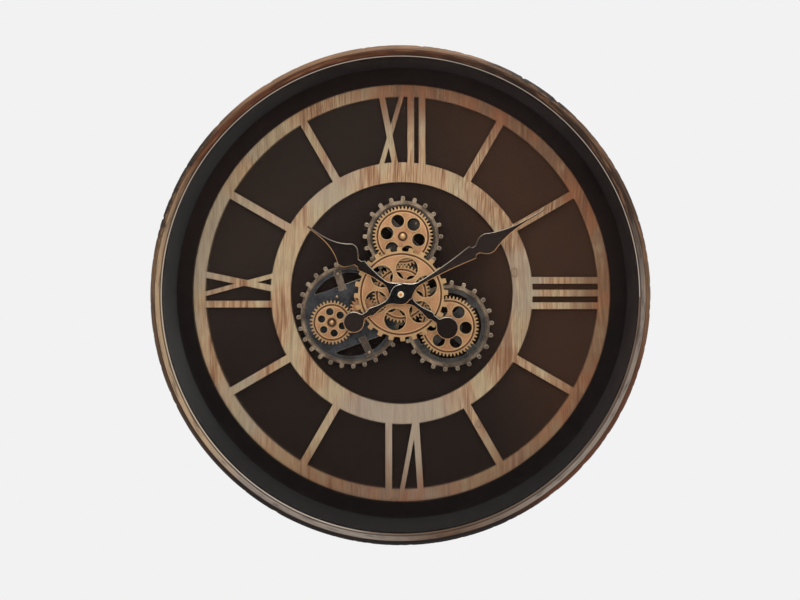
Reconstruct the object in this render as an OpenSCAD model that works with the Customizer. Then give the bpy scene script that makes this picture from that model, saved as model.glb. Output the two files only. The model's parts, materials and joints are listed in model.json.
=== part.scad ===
// Round wall clock, 600 mm across, with an openwork wooden dial and a gear train
// open to view behind glass. Millimetres, +Z up. The clock faces -Y and the wall is
// at Y = 0. The origin is the centre of the hanger's round hole, in the rear plane.
//
// Every piece is drawn in clock coordinates, x to the right, y up and z from the
// wall towards the viewer, with the hands' axis at x = 0, y = 0. on_clock() turns
// that drawing upright.

/* [Case] */
// Outside diameter of the case
case_d = 600; // [560:5:680]
// Depth of the case from the wall to its front crest
case_depth = 80; // [76:1:100]
// Thickness of the case wall behind the lip
case_wall = 11; // [9:0.5:16]
// Radius of the rounded front edge
case_round = 8.5; // [5:0.5:8.5]
// Depth from the front crest back to the glass
lip_depth = 5; // [4:0.5:8]
// How far the lip reaches inwards over the glass
lip_reach = 3.6; // [2:0.2:5]
// Thickness of the lip's thin inner edge
lip_edge = 1.2; // [0.8:0.1:2]
// Chamfer on the rear edge
rear_chamfer = 2; // [1:0.5:4]
// Gap between the case bore and what is dropped into it
drop_in_gap = 0.4; // [0.2:0.1:0.6]

/* [Glass and liner] */
// Thickness of the front glass
glass_t = 3; // [2:0.5:4]
// Wall of the dark liner between the glass and the board
liner_t = 3.6; // [2:0.2:6]

/* [Back board] */
// Thickness of the back board
board_t = 5; // [4:0.5:8]
// Depth of the space behind the board
cavity = 20; // [19:0.5:26]

/* [Dial] */
// Thickness of the wooden dial
dial_t = 4; // [3:0.5:6]
// Outer radius of the outer ring
outer_ring_r = 262.5; // [255:0.5:268]
// Least gap between the outer ring and the liner
dial_margin = 12; // [6:1:20]
// Width of the outer ring
outer_ring_w = 15; // [10:1:22]
// Outer radius of the inner ring
inner_ring_r = 165; // [160:0.5:175]
// Width of the inner ring
inner_ring_w = 25; // [12:1:25]
// Width of the eight plain hour bars
hour_bar_w = 10; // [6:0.5:16]
// Width of the numerals' straight strokes
stroke_bar_w = 8.5; // [6:0.5:11]
// Width of the numerals' thick slanted strokes
stroke_thick_w = 7.8; // [5:0.2:11]
// Width of the numerals' thin slanted strokes
stroke_thin_w = 6; // [4:0.2:8]
// Spacing of the straight strokes side by side
stroke_pitch = 16; // [13:0.5:20]

/* [Gear train] */
// Module of the meshing gears
gear_m = 1.45; // [1.4:0.01:1.5]
// Pressure angle of the meshing gears
gear_pa = 20; // [18:1:25]
// Play taken off each tooth at the pitch circle
backlash = 0.35; // [0.2:0.05:0.5]
// Depth of the tooth gaps below the pitch circle, in modules
dedendum_k = 1.6; // [1.25:0.05:1.8]
// Thickness of the meshing gears
gear_t = 4; // [3:0.5:5]
// Teeth of the fine centre gear
n_centre = 48; // [46:1:50]
// Teeth of the top gear
n_top = 50; // [48:1:52]
// Teeth of the right gear
n_right = 50; // [48:1:52]
// Teeth of the idler
n_idler = 22; // [20:1:24]
// Teeth of the left gear
n_left = 36; // [34:1:38]
// Direction of the top gear from the centre
top_dir = 88.5; // [85:0.5:95]
// Direction of the right gear from the centre
right_dir = -34.4; // [-40:0.5:-30]
// Direction of the idler and of the left gear from the centre
left_dir = 202.4; // [198:0.5:206]
// Radius of the groove ring on the top gear's face
top_groove_r = 31.4; // [29.8:0.1:31.9]
// Radius of the groove ring on the right gear's face
right_groove_r = 31.4; // [29.8:0.1:31.9]
// Radius of the groove ring on the left gear's face
left_groove_r = 21.6; // [19:0.1:21.8]
// Width of the groove rings
groove_w = 0.9; // [0.5:0.1:1.4]
// Depth of the groove rings
groove_d = 0.6; // [0.3:0.1:1]
// Radius of the top gear's six holes
top_hole_r = 7.9; // [6:0.1:8.6]
// Circle that the top gear's holes lie on
top_hole_pcr = 20; // [19:0.5:21]
// Radius of the right gear's six holes
right_hole_r = 7.7; // [6:0.1:8.4]
// Circle that the right gear's holes lie on
right_hole_pcr = 21.2; // [20:0.1:21.5]
// Radius of the left gear's six holes
left_hole_r = 4.6; // [3:0.1:5.4]
// Circle that the left gear's holes lie on
left_hole_pcr = 13.5; // [12.5:0.5:14]
// Radius of the fine centre gear's six holes
fine_hole_r = 8; // [6:0.1:8.4]
// Circle that the fine centre gear's holes lie on
fine_hole_pcr = 20; // [19.5:0.5:22]

/* [Front gear] */
// Radius over the teeth of the large front gear
front_tip_r = 57.8; // [55:0.2:60]
// Height of its teeth
front_tooth_h = 5; // [3:0.5:6]
// Width of its teeth
front_tooth_w = 6.2; // [4:0.2:8]
// Number of its teeth
front_n = 24; // [20:1:28]
// Thickness of the front gear
front_t = 4; // [3:0.5:5]
// Radius of its six large holes
front_hole_r = 13.4; // [10:0.2:14]
// Circle that the large holes lie on
front_hole_pcr = 32; // [30:0.5:33]
// Radius of the groove ring on its face
front_groove_r = 49.2; // [48.4:0.1:50.5]

/* [Antique plates] */
// Radius over the teeth of the left plate
left_plate_r = 67.6; // [65:0.2:70]
// Teeth of the left plate
left_plate_n = 28; // [24:1:32]
// Distance of the left plate's centre from the hands' axis
left_plate_dist = 69; // [68:0.5:70.5]
// Radius over the teeth of the right plate
right_plate_r = 56.7; // [55:0.2:60]
// Teeth of the right plate
right_plate_n = 22; // [18:1:26]
// Radius over the teeth of the top plate
top_plate_r = 50.1; // [49:0.1:53]
// Teeth of the top plate
top_plate_n = 20; // [18:1:24]
// Height of the plates' teeth
cog_h = 5.4; // [4:0.2:7]
// Width of the plates' teeth
cog_w = 4.8; // [3:0.2:6]
// Width of the plates' raised toothed rim below the teeth
cog_rim_w = 5.2; // [3:0.2:6]
// Thickness of the plates at the toothed rim
plate_rim_t = 3.5; // [3:0.1:3.6]
// Thickness of the plates inside the rim
plate_web_t = 2.4; // [1.8:0.1:2.6]
// Distance of the left plate's inner pillar from its centre
inner_pin_r = 27.5; // [25:0.5:29]
// How far the left plate's outer pillars stand beyond its windows
left_pin_out = 0.4; // [0.2:0.1:1]
// How far the top plate's pillars stand beyond its windows' inner edge
top_pin_out = 9; // [8:0.5:11]
// Half width of the left plate's slanted band
band_half_w = 38; // [34:0.5:41]
// Outer radius of the left plate's windows
left_window_r = 52.4; // [50:0.2:54.4]
// How far the left plate's windows reach to each side along the band
window_reach = 33.5; // [28:0.5:35]
// Width of the left plate's two spokes
left_spoke_w = 9; // [7:0.5:13]
// How much lower the left plate's spokes are than its rim
spoke_drop = 0.4; // [0.2:0.1:0.8]
// Width of the right plate's ring outside its windows
right_band_w = 5.3; // [3:0.1:7]
// Inner radius of the right plate's windows
right_window_in = 17; // [12:0.5:24]
// Width of the top plate's ring outside its windows
top_band_w = 1.5; // [1:0.1:3]
// Inner radius of the top plate's windows
top_window_in = 14; // [11:0.5:17]
// Width of the right and top plates' four spokes
cross_spoke_w = 13; // [11:0.5:16]

/* [Stack heights] */
// Height of the left plate's pillars
left_pillar_h = 8; // [6:0.5:8]
// Height of the top and right plates' pillars
pillar_h = 12; // [12:0.5:13]
// Radius of the pillars
pillar_r = 3.6; // [2.6:0.1:4]
// Radius of the pillars' stems, which pass through the board
stem_r = 2; // [1.5:0.1:2.4]
// Height of the meshing gears' backs above the board
train_h = 17; // [17:0.5:19]
// Gap between the meshing gears and the front gear
train_gap = 3; // [3:0.5:4]
// Gap between the front gear's hub and the hour hand
hour_gap = 2.5; // [2.5:0.1:4]
// Gap between the hour hand and the minute hand
hand_gap = 2.3; // [1.5:0.1:4]

/* [Axles and screws] */
// Radius of the left and idler axles
axle_r = 2; // [1.5:0.1:2.4]
// Radius of the right axle
right_axle_r = 2.4; // [2:0.1:2.8]
// Radius of the top gear's driving shaft
top_shaft_r = 2.4; // [2:0.1:2.8]
// Radius of the dome on the left axle
left_dome_r = 3.2; // [2.9:0.1:4.2]
// Radius of the domes on the right axle and on the top shaft
dome_r = 4; // [3.6:0.1:5]
// Height of the domes
dome_h = 2.6; // [1.5:0.1:2.8]
// Running clearance of the gears on their axles
run_fit = 0.06; // [0.03:0.01:0.09]
// Clearance of what is pushed or screwed together
seat_fit = 0.04; // [0.02:0.01:0.08]
// End play of the gears along their axles
end_play = 0.2; // [0.1:0.05:0.3]
// Thickness of the washers under the domes
washer_t = 0.8; // [0.5:0.1:1]
// Wall of the spacers and collars on the axles
spacer_wall = 2.4; // [1.6:0.1:3]
// Radius of the screws through the plates
plate_screw_r = 1.4; // [1:0.1:1.6]
// Radius of the plate screws' round heads
plate_screw_head_r = 2.3; // [2:0.1:2.6]
// Radius of the wood screws
wood_screw_r = 1.5; // [1.2:0.1:1.8]
// Radius of the wood screws' heads
wood_screw_head_r = 3; // [2.6:0.1:3.4]
// Height of the screws' heads
screw_head_h = 1.6; // [1.2:0.1:2]

/* [Hands] */
// Length of the minute hand from its axis
minute_len = 203; // [190:1:210]
// Length of the hour hand from its axis
hour_len = 141; // [130:1:150]
// Distance of the minute hand's shoulders from its axis
minute_corner_at = 101; // [92:1:110]
// Distance of the hour hand's shoulders from its axis
hour_corner_at = 60; // [52:1:68]
// Half width of the minute hand's shoulders
minute_corner_w = 8.5; // [6:0.5:11]
// Half width of the hour hand's shoulders
hour_corner_w = 7.2; // [5:0.2:9]
// Distance from the hands' shoulders to the widest place of their leaves
leaf_rise = 20; // [16:1:24]
// Half width of the hands at their narrowest
neck_w = 2.4; // [1.8:0.1:3]
// Half width of the hands' blunt tips
tip_w = 1.4; // [1:0.1:2]
// Half width of the hands' tails at their narrowest
tail_neck_w = 2.5; // [1.8:0.1:3]
// Clock angle of the minute hand at rest
minute_at = 59.5; // [0:0.5:360]
// Clock angle of the hour hand at rest
hour_at = 306; // [0:0.5:360]
// Radius of the hands' round hubs
hand_hub_r = 12.6; // [10:0.2:14]
// Thickness of the hands
hand_t = 1.2; // [0.8:0.1:2]
// Width of the bright bevelled edge round the hands
hand_edge = 0.7; // [0.4:0.1:0.9]
// Radius of the minute hand's tail disc
minute_tail_r = 12.6; // [10:0.2:15]
// Radius of the hour hand's tail disc
hour_tail_r = 13.5; // [11:0.2:15]
// Distance of the minute hand's tail disc from the axis
minute_tail_at = 66.4; // [60:0.2:72]
// Distance of the hour hand's tail disc from the axis
hour_tail_at = 70; // [62:0.5:76]
// Half width of the minute hand's leaf
minute_leaf_w = 12.4; // [9:0.2:16]
// Half width of the hour hand's leaf
hour_leaf_w = 15.4; // [11:0.2:18]

/* [Movement] */
// Width and height of the quartz movement's box
movement_w = 56; // [54:0.5:60]
// Thickness of the movement's box and of the gear motor's box
movement_t = 17; // [16.6:0.1:18]
// Radius of the threaded bushing
bushing_r = 4.2; // [3.9:0.1:4.6]
// Radius of the hour tube
hour_tube_r = 2.7; // [2.6:0.05:3]
// Radius of the minute shaft
minute_shaft_r = 1.7; // [1.5:0.05:1.8]
// Width across the flats of the bushing nut
bushing_nut_w = 13; // [11:0.5:15]
// Thickness of the bushing nut
bushing_nut_t = 3; // [2:0.5:4]
// Radius of the nut that holds the hands
hand_nut_r = 3.9; // [3:0.1:5]
// Thickness of the nut that holds the hands
hand_nut_t = 2.6; // [2:0.1:3.5]
// Radius of the time setting knob
knob_r = 7.5; // [6:0.5:9]
// Distance of the knob above the hands' axis
knob_up = 16; // [13:0.5:17]
// Width of the gear motor's box
motor_w = 60; // [58:0.5:70]
// Height of the gear motor's box
motor_h = 46; // [45:0.5:56]
// Height of the gear motor's shaft above the lower edge of its box
motor_shaft_up = 15; // [14:0.5:17]
// Half height of the gear motor's ears
motor_ear = 7; // [5:0.5:9]
// Thickness of the gear motor's ears
motor_ear_t = 2.5; // [1.6:0.1:3]
// Distance of the ears' screws from the box
motor_screw_out = 8; // [7:0.5:10]
// Wall between a cell's bay and the edge of its box
bay_wall = 1.5; // [1.2:0.1:2]
// Room round a dry cell in its bay
bay_room = 0.8; // [0.6:0.1:1]
// Radius of the dry cells
cell_r = 7.2; // [6.8:0.05:7.25]
// Length of the dry cells
cell_len = 50.2; // [48:0.1:50.5]

/* [Hanger] */
// Distance of the hanger's round hole inside the case's outer edge
hanger_in = 45; // [38:1:55]
// Width of the hanger's raised web
hanger_w = 52; // [40:1:60]
// Height of the hanger plate
hanger_h = 26; // [24:1:32]
// Thickness of the hanger's sheet
hanger_t = 2; // [1.5:0.1:2.5]
// Length of the hanger's feet
hanger_foot = 13; // [11:0.5:16]
// Radius of the hanger's round hole
hanger_hole_r = 4.5; // [4:0.1:5.5]
// Width of the slot that leads up from the round hole
hanger_slot_w = 5; // [4:0.1:5.5]
// Length of that slot
hanger_slot_len = 8; // [6:0.5:10]

/* [Brackets] */
// Number of brackets that hold the board in the case
bracket_n = 6; // [4:1:8]
// Width of a bracket
bracket_w = 14; // [10:1:20]
// Length of a bracket's legs
bracket_leg = 15; // [12:0.5:16]
// Thickness of a bracket
bracket_t = 1.5; // [1:0.1:2.5]

/* [Hidden] */
$fn = 96;
cut = 1;

// Case sizes
case_r = max(case_d / 2, outer_ring_r + dial_margin + liner_t + drop_in_gap + case_wall);
bore_r = case_r - case_wall;
hanger_up = case_r - hanger_in;
lip_r = bore_r - lip_reach;
drop_r = bore_r - drop_in_gap;
glass_z = case_depth - lip_depth - glass_t;
board_z = cavity;
front_z = board_z + board_t;

// Stack heights above the wall
left_z = front_z + left_pillar_h;
plate_z = front_z + pillar_h;
train_z = front_z + train_h;
train_top = train_z + gear_t;
big_z = train_top + train_gap;
big_top = big_z + front_t;
hub_top = big_top + 1;
ring_z = hub_top + end_play;
ring_t = 1.2;
hour_z = big_top + hour_gap + 1;
minute_z = hour_z + hand_t + hand_gap;
nut_z = minute_z + hand_t;

// Pitch radii and the places of the axles
function pitch_r(n) = n * gear_m / 2;
function at(r, a) = [r * cos(a), r * sin(a)];
top_c = at(pitch_r(n_centre) + pitch_r(n_top), top_dir);
right_c = at(pitch_r(n_centre) + pitch_r(n_right), right_dir);
idler_d = pitch_r(n_centre) + pitch_r(n_idler);
idler_c = at(idler_d, left_dir);
left_c = at(idler_d + pitch_r(n_idler) + pitch_r(n_left), left_dir);
left_plate_c = at(left_plate_dist, left_dir);

// Phase that puts gear b in mesh with gear a, along direction d from a to b
function mesh(na, pa, nb, d) = d + 180 - (0.5 - (d - pa) * na / 360) * 360 / nb;
centre_phase = 0;
top_phase = mesh(n_centre, centre_phase, n_top, top_dir);
right_phase = mesh(n_centre, centre_phase, n_right, right_dir);
idler_phase = mesh(n_centre, centre_phase, n_idler, left_dir);
left_phase = mesh(n_idler, idler_phase, n_left, left_dir);

// Places of the pillars and screws
left_pin_r = left_window_r + left_pin_out;
left_pins = [at(left_pin_r, 107.4), at(left_pin_r, 296.5), at(inner_pin_r, 128.3)];
top_pin_r = top_window_in + top_pin_out;
right_pin_r = right_plate_r - cog_h - cog_rim_w - right_band_w / 2 - 1;
cross = [45, 135, 225, 315];

// Stands the clock drawing upright, with the hanger's hole at the origin
module on_clock() {
    translate([0, 0, -hanger_up])
        rotate([90, 0, 0])
            children();
}

module up(h) {
    translate([0, 0, h])
        children();
}

module at_xy(p) {
    translate([p[0], p[1], 0])
        children();
}

// Ring of rectangular section
module tube(h, r_out, r_in) {
    difference() {
        cylinder(h = h, r = r_out);
        up(-cut)
            cylinder(h = h + 2 * cut, r = r_in);
    }
}

// Circular groove cut into a face at height h
module face_groove(h, r, w, d) {
    up(h - d)
        tube(d + cut, r + w / 2, r - w / 2);
}

// Six round holes on a circle
module six_holes(h, pcr, r, a) {
    for (k = [0:5])
        rotate([0, 0, a + 60 * k])
            translate([pcr, 0, -cut])
                cylinder(h = h + 2 * cut, r = r);
}

// Angle of the involute at radius r
function inv(rb, r) = r <= rb ? 0 : sqrt(r * r - rb * rb) / rb * 180 / PI - acos(rb / r);

// Half angle of a tooth at radius r
function half_tooth(n, r) =
    let (rp = pitch_r(n), rb = rp * cos(gear_pa))
    90 / n - backlash / 2 / rp * 180 / PI + inv(rb, rp) - inv(rb, max(r, rb));

// Outline of a spur gear with involute flanks
function gear_outline(n, phase) =
    let (
        rp = pitch_r(n),
        rb = rp * cos(gear_pa),
        root = rp - dedendum_k * gear_m,
        rr = [root, max(rb, root + 0.3), rp, rp + 0.97 * gear_m]
    )
    [for (k = [0:n - 1])
        for (i = [0:7])
            let (
                j = i < 4 ? i : 7 - i,
                s = i < 4 ? -1 : 1,
                a = phase + 360 * k / n + s * half_tooth(n, rr[j])
            )
            at(rr[j], a)];

module spur_gear(n, phase, bore) {
    difference() {
        linear_extrude(height = gear_t)
            polygon(gear_outline(n, phase));
        up(-cut)
            cylinder(h = gear_t + 2 * cut, r = bore);
    }
}

// Outline of a wheel with straight teeth whose corners are cut off
function cog_outline(n, tip, h, w, c, phase, foot = 0.8) =
    let (
        rr = [tip - h, tip - h + max(foot, 0.2), tip - c, tip],
        ww = [w / 2 + foot, w / 2, w / 2, w / 2 - c]
    )
    [for (k = [0:n - 1])
        for (i = [0:7])
            let (
                j = i < 4 ? i : 7 - i,
                s = i < 4 ? -1 : 1,
                a = phase + 360 * k / n + s * asin(ww[j] / rr[j])
            )
            at(rr[j], a)];

// Antique toothed plate: a raised toothed rim round a thinner web
module cog_plate(n, tip, phase) {
    linear_extrude(height = plate_rim_t)
        difference() {
            polygon(cog_outline(n, tip, cog_h, cog_w, 1.1, phase));
            circle(r = tip - cog_h - cog_rim_w);
        }
    cylinder(h = plate_web_t, r = tip - cog_h - cog_rim_w + 0.01);
}

// Rounded dome on a flat base
module dome(r, h) {
    ball = (r * r + h * h) / (2 * h);
    intersection() {
        up(h - ball)
            sphere(r = ball);
        cylinder(h = h + cut, r = r);
    }
}

// Screw along +z with its head's seat at height 0 and its head in front
module screw_front(r, head_r, head_h, shank) {
    up(-shank)
        cylinder(h = shank + 0.01, r = r);
    dome(head_r, head_h);
}

// Case ring with its rounded front edge, inward bead and thin lip
module frame_ring() {
    color([0.45, 0.33, 0.25])
        on_clock()
            difference() {
                rotate_extrude($fn = 180)
                    case_profile();
                bracket_places()
                    translate([bore_r - cut, 0, wall_screw_z])
                        rotate([0, 90, 0])
                            cylinder(h = wall_screw_in + cut + 0.5, r = wood_screw_r + seat_fit);
            }
}

module case_profile() {
    difference() {
        union() {
            translate([bore_r, 0])
                square([case_wall, case_depth - case_round]);
            intersection() {
                translate([case_r - case_round, case_depth - case_round])
                    circle(r = case_round);
                translate([case_r - case_round, case_depth - case_round])
                    square(case_round);
            }
            polygon([
                [lip_r, case_depth - lip_depth],
                [case_r - case_round, case_depth - lip_depth],
                [case_r - case_round, case_depth],
                [case_r - case_round - 1, case_depth - 0.2],
                [lip_r + 1, case_depth - lip_depth + lip_edge + 0.3],
                [lip_r, case_depth - lip_depth + lip_edge]
            ]);
            translate([bore_r, case_depth - case_round - 0.5])
                square([case_wall - case_round, case_round - lip_depth + 0.5]);
        }
        translate([case_r, -0.001])
            rotate(45)
                square(rear_chamfer * sqrt(2), center = true);
    }
}

module glass() {
    color([0.85, 0.92, 0.95, 0.3])
        on_clock()
            up(glass_z)
                cylinder(h = glass_t, r = drop_r, $fn = 180);
}

module liner() {
    color([0.17, 0.17, 0.17])
        on_clock()
            up(front_z)
                tube(glass_z - front_z, drop_r, drop_r - liner_t, $fn = 180);
}

// Board with its shaft holes, pillar holes and screw holes
module back_board() {
    color([0.20, 0.15, 0.12])
        on_clock()
            up(board_z)
                difference() {
                    cylinder(h = board_t, r = drop_r, $fn = 180);
                    up(-cut) {
                        cylinder(h = board_t + 2 * cut, r = bushing_r + 0.3);
                        at_xy(top_c)
                            cylinder(h = board_t + 2 * cut, r = top_shaft_r + 0.6);
                        left_pin_places()
                            cylinder(h = board_t + 2 * cut, r = stem_r + seat_fit);
                        top_pin_places()
                            cylinder(h = board_t + 2 * cut, r = stem_r + seat_fit);
                        right_pin_places()
                            cylinder(h = board_t + 2 * cut, r = stem_r + seat_fit);
                        board_screw_places()
                            cylinder(h = board_screw_in + cut + 0.3, r = wood_screw_r + seat_fit);
                    }
                }
}

module left_pin_places() {
    at_xy(left_plate_c)
        for (p = left_pins)
            at_xy(p)
                children();
}

module top_pin_places() {
    at_xy(top_c)
        for (a = cross)
            at_xy(at(top_pin_r, a))
                children();
}

module right_pin_places() {
    at_xy(right_c)
        for (a = cross)
            at_xy(at(right_pin_r, a))
                children();
}

// All places where a wood screw enters the board from behind
module board_screw_places() {
    bracket_places()
        translate([bracket_screw_r, 0, 0])
            children();
    motor_screw_places()
        children();
    hanger_screw_places()
        children();
}

// Dial cut from one sheet: two rings joined by numerals and bars
module dial() {
    color([0.68, 0.54, 0.38])
        on_clock()
            up(front_z)
                union() {
                    tube(dial_t, outer_ring_r, outer_ring_r - outer_ring_w, $fn = 180);
                    tube(dial_t, inner_ring_r, inner_ring_r - inner_ring_w, $fn = 180);
                    linear_extrude(height = dial_t)
                        dial_strokes();
                }
}

// The strokes that join the rings: eight plain bars and four numerals
module dial_strokes() {
    for (h = [1, 2, 4, 5, 7, 8, 10, 11])
        rotate(-30 * h)
            stroke(0, 0, hour_bar_w);
    // XII, III, VI and IX, their strokes side by side in the clockwise direction
    xii = 1.6 * stroke_pitch;
    stroke(-xii, -8.2, stroke_thick_w);
    stroke(0.5, -xii, stroke_thin_w);
    stroke(xii - stroke_pitch + 1.7, xii - stroke_pitch + 1.7, stroke_bar_w);
    stroke(xii, xii, stroke_bar_w);
    rotate(-90)
        for (k = [-1:1])
            stroke(k * stroke_pitch, k * stroke_pitch, stroke_bar_w);
    rotate(180) {
        stroke(stroke_pitch + 0.4, stroke_pitch + 0.4, stroke_bar_w);
        stroke(-0.1, -16.6, stroke_thin_w);
        stroke(-23.9, -18, stroke_thick_w);
    }
    rotate(90) {
        stroke(-14, -14, stroke_bar_w);
        stroke(24, 5.5, stroke_thick_w);
        stroke(-1.8, 22, stroke_thin_w);
    }
}

// Stroke from the outer ring, at uo across, to the inner ring, at ui across
module stroke(uo, ui, w) {
    ro = outer_ring_r - outer_ring_w + 3;
    ri = inner_ring_r - 3;
    polygon([[uo - w / 2, ro], [uo + w / 2, ro], [ui + w / 2, ri], [ui - w / 2, ri]]);
}

// Left plate: a slanted band that carries the left gear and the idler, two windows
// above it and two below, and a spoke with a screw across each side
module left_plate() {
    web_r = left_plate_r - cog_h - cog_rim_w;
    color([0.42, 0.38, 0.36])
        on_clock()
            up(left_z)
                difference() {
                    union() {
                        at_xy(left_plate_c)
                            cog_plate(left_plate_n, left_plate_r, left_dir + 180 / left_plate_n);
                        at_xy(left_plate_c)
                            linear_extrude(height = plate_rim_t - spoke_drop)
                                intersection() {
                                    circle(r = web_r + 0.5);
                                    left_spokes();
                                }
                    }
                    at_xy(left_plate_c)
                        up(-cut)
                            linear_extrude(height = plate_rim_t + 2 * cut)
                                left_windows();
                    up(-cut)
                        cylinder(h = plate_rim_t + 2 * cut, r = bushing_r + 2.4);
                    left_pin_places()
                        up(-cut)
                            cylinder(h = plate_rim_t + 2 * cut, r = plate_screw_r + seat_fit);
                    at_xy(idler_c)
                        up(-cut)
                            cylinder(h = plate_rim_t + 2 * cut, r = axle_r + seat_fit);
                    at_xy(left_c)
                        up(-cut)
                            cylinder(h = plate_rim_t + 2 * cut, r = axle_r + seat_fit);
                }
}

// The two spokes, from the slanted band out to the rim
module left_spokes() {
    for (a = [107.4, 296.5])
        rotate(a)
            translate([band_half_w - 6, -left_spoke_w / 2])
                square([left_window_r - band_half_w + 12, left_spoke_w]);
}

module left_windows() {
    difference() {
        intersection() {
            circle(r = left_window_r);
            rotate(left_dir - 182.4)
                square([2 * window_reach, 3 * left_window_r], center = true);
        }
        rotate(left_dir - 182.4)
            square([3 * left_window_r, 2 * band_half_w], center = true);
        left_spokes();
    }
}

module top_plate() {
    color([0.45, 0.42, 0.40])
        on_clock()
            up(plate_z)
                at_xy(top_c)
                    difference() {
                        cog_plate(top_plate_n, top_plate_r, 90);
                        up(-cut)
                            linear_extrude(height = plate_rim_t + 2 * cut)
                                cross_windows(top_window_in, top_plate_r - cog_h - cog_rim_w - top_band_w);
                        up(-cut)
                            cylinder(h = plate_rim_t + 2 * cut, r = top_shaft_r + run_fit);
                        for (a = cross)
                            at_xy(at(top_pin_r, a))
                                up(-cut)
                                    cylinder(h = plate_rim_t + 2 * cut, r = plate_screw_r + seat_fit);
                    }
}

module right_plate() {
    color([0.45, 0.42, 0.40])
        on_clock()
            up(plate_z)
                at_xy(right_c)
                    difference() {
                        cog_plate(right_plate_n, right_plate_r, 4);
                        up(-cut)
                            linear_extrude(height = plate_rim_t + 2 * cut)
                                cross_windows(right_window_in,
                                    right_plate_r - cog_h - cog_rim_w - right_band_w);
                        up(-cut)
                            cylinder(h = plate_rim_t + 2 * cut, r = right_axle_r + seat_fit);
                        for (a = cross)
                            at_xy(at(right_pin_r, a))
                                up(-cut)
                                    cylinder(h = 1.2 + cut, r = stem_r + seat_fit);
                    }
}

// Four windows between a hub disc and a rim, with a cross of spokes between them
module cross_windows(r_in, r_out) {
    difference() {
        circle(r = r_out);
        circle(r = r_in);
        for (a = [45, 135])
            rotate(a)
                square([3 * r_out, cross_spoke_w], center = true);
    }
}

// Pillar on the board: a stem through the board and a body in front of it
module pillar(h) {
    up(board_z)
        cylinder(h = board_t + 0.01, r = stem_r);
    up(front_z)
        cylinder(h = h, r = pillar_r);
}

module drilled_pillar(h) {
    difference() {
        pillar(h);
        up(front_z + h - 5)
            cylinder(h = 5 + cut, r = plate_screw_r + seat_fit);
    }
}

module left_pillars() {
    color([0.5, 0.45, 0.4])
        on_clock()
            left_pin_places()
                drilled_pillar(left_pillar_h);
}

module top_pillars() {
    color([0.5, 0.45, 0.4])
        on_clock()
            top_pin_places()
                drilled_pillar(pillar_h);
}

// These pillars end in blind holes, so the right plate shows no screws
module right_pillars() {
    color([0.5, 0.45, 0.4])
        on_clock()
            right_pin_places() {
                pillar(pillar_h);
                up(plate_z - 0.01)
                    cylinder(h = 1, r = stem_r);
            }
}

// Round-headed screws that hold the left and top plates on their pillars
module plate_screws() {
    color([0.55, 0.5, 0.45])
        on_clock() {
            at_xy(left_plate_c) {
                for (k = [0:1])
                    at_xy(left_pins[k])
                        up(left_z + plate_rim_t - spoke_drop)
                            screw_front(plate_screw_r, plate_screw_head_r, screw_head_h, plate_rim_t + 3.6);
                at_xy(left_pins[2])
                    up(left_z + plate_web_t)
                        screw_front(plate_screw_r, plate_screw_head_r, screw_head_h, plate_web_t + 4);
            }
            top_pin_places()
                up(plate_z + plate_web_t)
                    screw_front(plate_screw_r, plate_screw_head_r, screw_head_h, plate_web_t + 4);
        }
}

// Axle screw: a shank in the plate, through spacer, gear and washer to a domed head
module axle(z0, r, head_r, head_h) {
    head_z = train_top + end_play + washer_t;
    up(z0)
        cylinder(h = head_z - z0 + 0.01, r = r);
    up(head_z)
        dome(head_r, head_h);
}

module left_axle() {
    color([0.75, 0.6, 0.4])
        on_clock()
            at_xy(left_c)
                axle(left_z, axle_r, left_dome_r, dome_h);
}

// The idler's axle has a low head, because the front gear turns above it
module idler_axle() {
    color([0.75, 0.6, 0.4])
        on_clock()
            at_xy(idler_c)
                axle(left_z, axle_r, axle_r + 1.2, train_gap - end_play - washer_t - 1);
}

module right_axle() {
    color([0.75, 0.6, 0.4])
        on_clock()
            at_xy(right_c)
                axle(plate_z, right_axle_r, dome_r, dome_h);
}

// Spacers between the left plate and the gears that it carries
module axle_spacers() {
    color([0.6, 0.5, 0.4])
        on_clock()
            for (c = [left_c, idler_c])
                at_xy(c)
                    up(left_z + plate_web_t)
                        tube(train_z - end_play - left_z - plate_web_t, axle_r + spacer_wall,
                            axle_r + seat_fit);
}

module right_spacer() {
    color([0.6, 0.5, 0.4])
        on_clock()
            at_xy(right_c)
                up(plate_z + plate_web_t)
                    tube(train_z - end_play - plate_z - plate_web_t, right_axle_r + spacer_wall,
                        right_axle_r + seat_fit);
}

// Dark washers between the gears and the axles' heads
module dome_washers() {
    color([0.2, 0.16, 0.13])
        on_clock() {
            at_xy(left_c)
                up(train_top + end_play)
                    tube(washer_t, left_dome_r + 2, axle_r + seat_fit);
            at_xy(idler_c)
                up(train_top + end_play)
                    tube(washer_t, axle_r + 2.4, axle_r + seat_fit);
            at_xy(right_c)
                up(train_top + end_play)
                    tube(washer_t, dome_r + 1.4, right_axle_r + seat_fit);
        }
}

// Box with rounded upright edges, its front face at height z0 + t
module rounded_box(w, h, t, r) {
    linear_extrude(height = t)
        union() {
            square([w - 2 * r, h], center = true);
            square([w, h - 2 * r], center = true);
            for (x = [-1, 1])
                for (y = [-1, 1])
                    translate([x * (w / 2 - r), y * (h / 2 - r)])
                        circle(r = r, $fn = 32);
        }
}

// Bay for one dry cell along x, open to the rear
bay_len = cell_len + 4 * bay_room;
bay_w = 2 * cell_r + bay_room;
bay_deep = 2 * cell_r + 1.5 * bay_room;
back_z = board_z - movement_t;
cell_z = back_z + cell_r + 0.75 * bay_room;
movement_cell_y = -movement_w / 2 + bay_w / 2 + bay_wall;
motor_y = motor_h / 2 - motor_shaft_up;
motor_cell_y = top_c[1] + motor_y + motor_h / 2 - bay_w / 2 - bay_wall;

module cell_bay(x, y) {
    translate([x - bay_len / 2, y - bay_w / 2, back_z - cut])
        cube([bay_len, bay_w, bay_deep + cut]);
}

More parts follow.
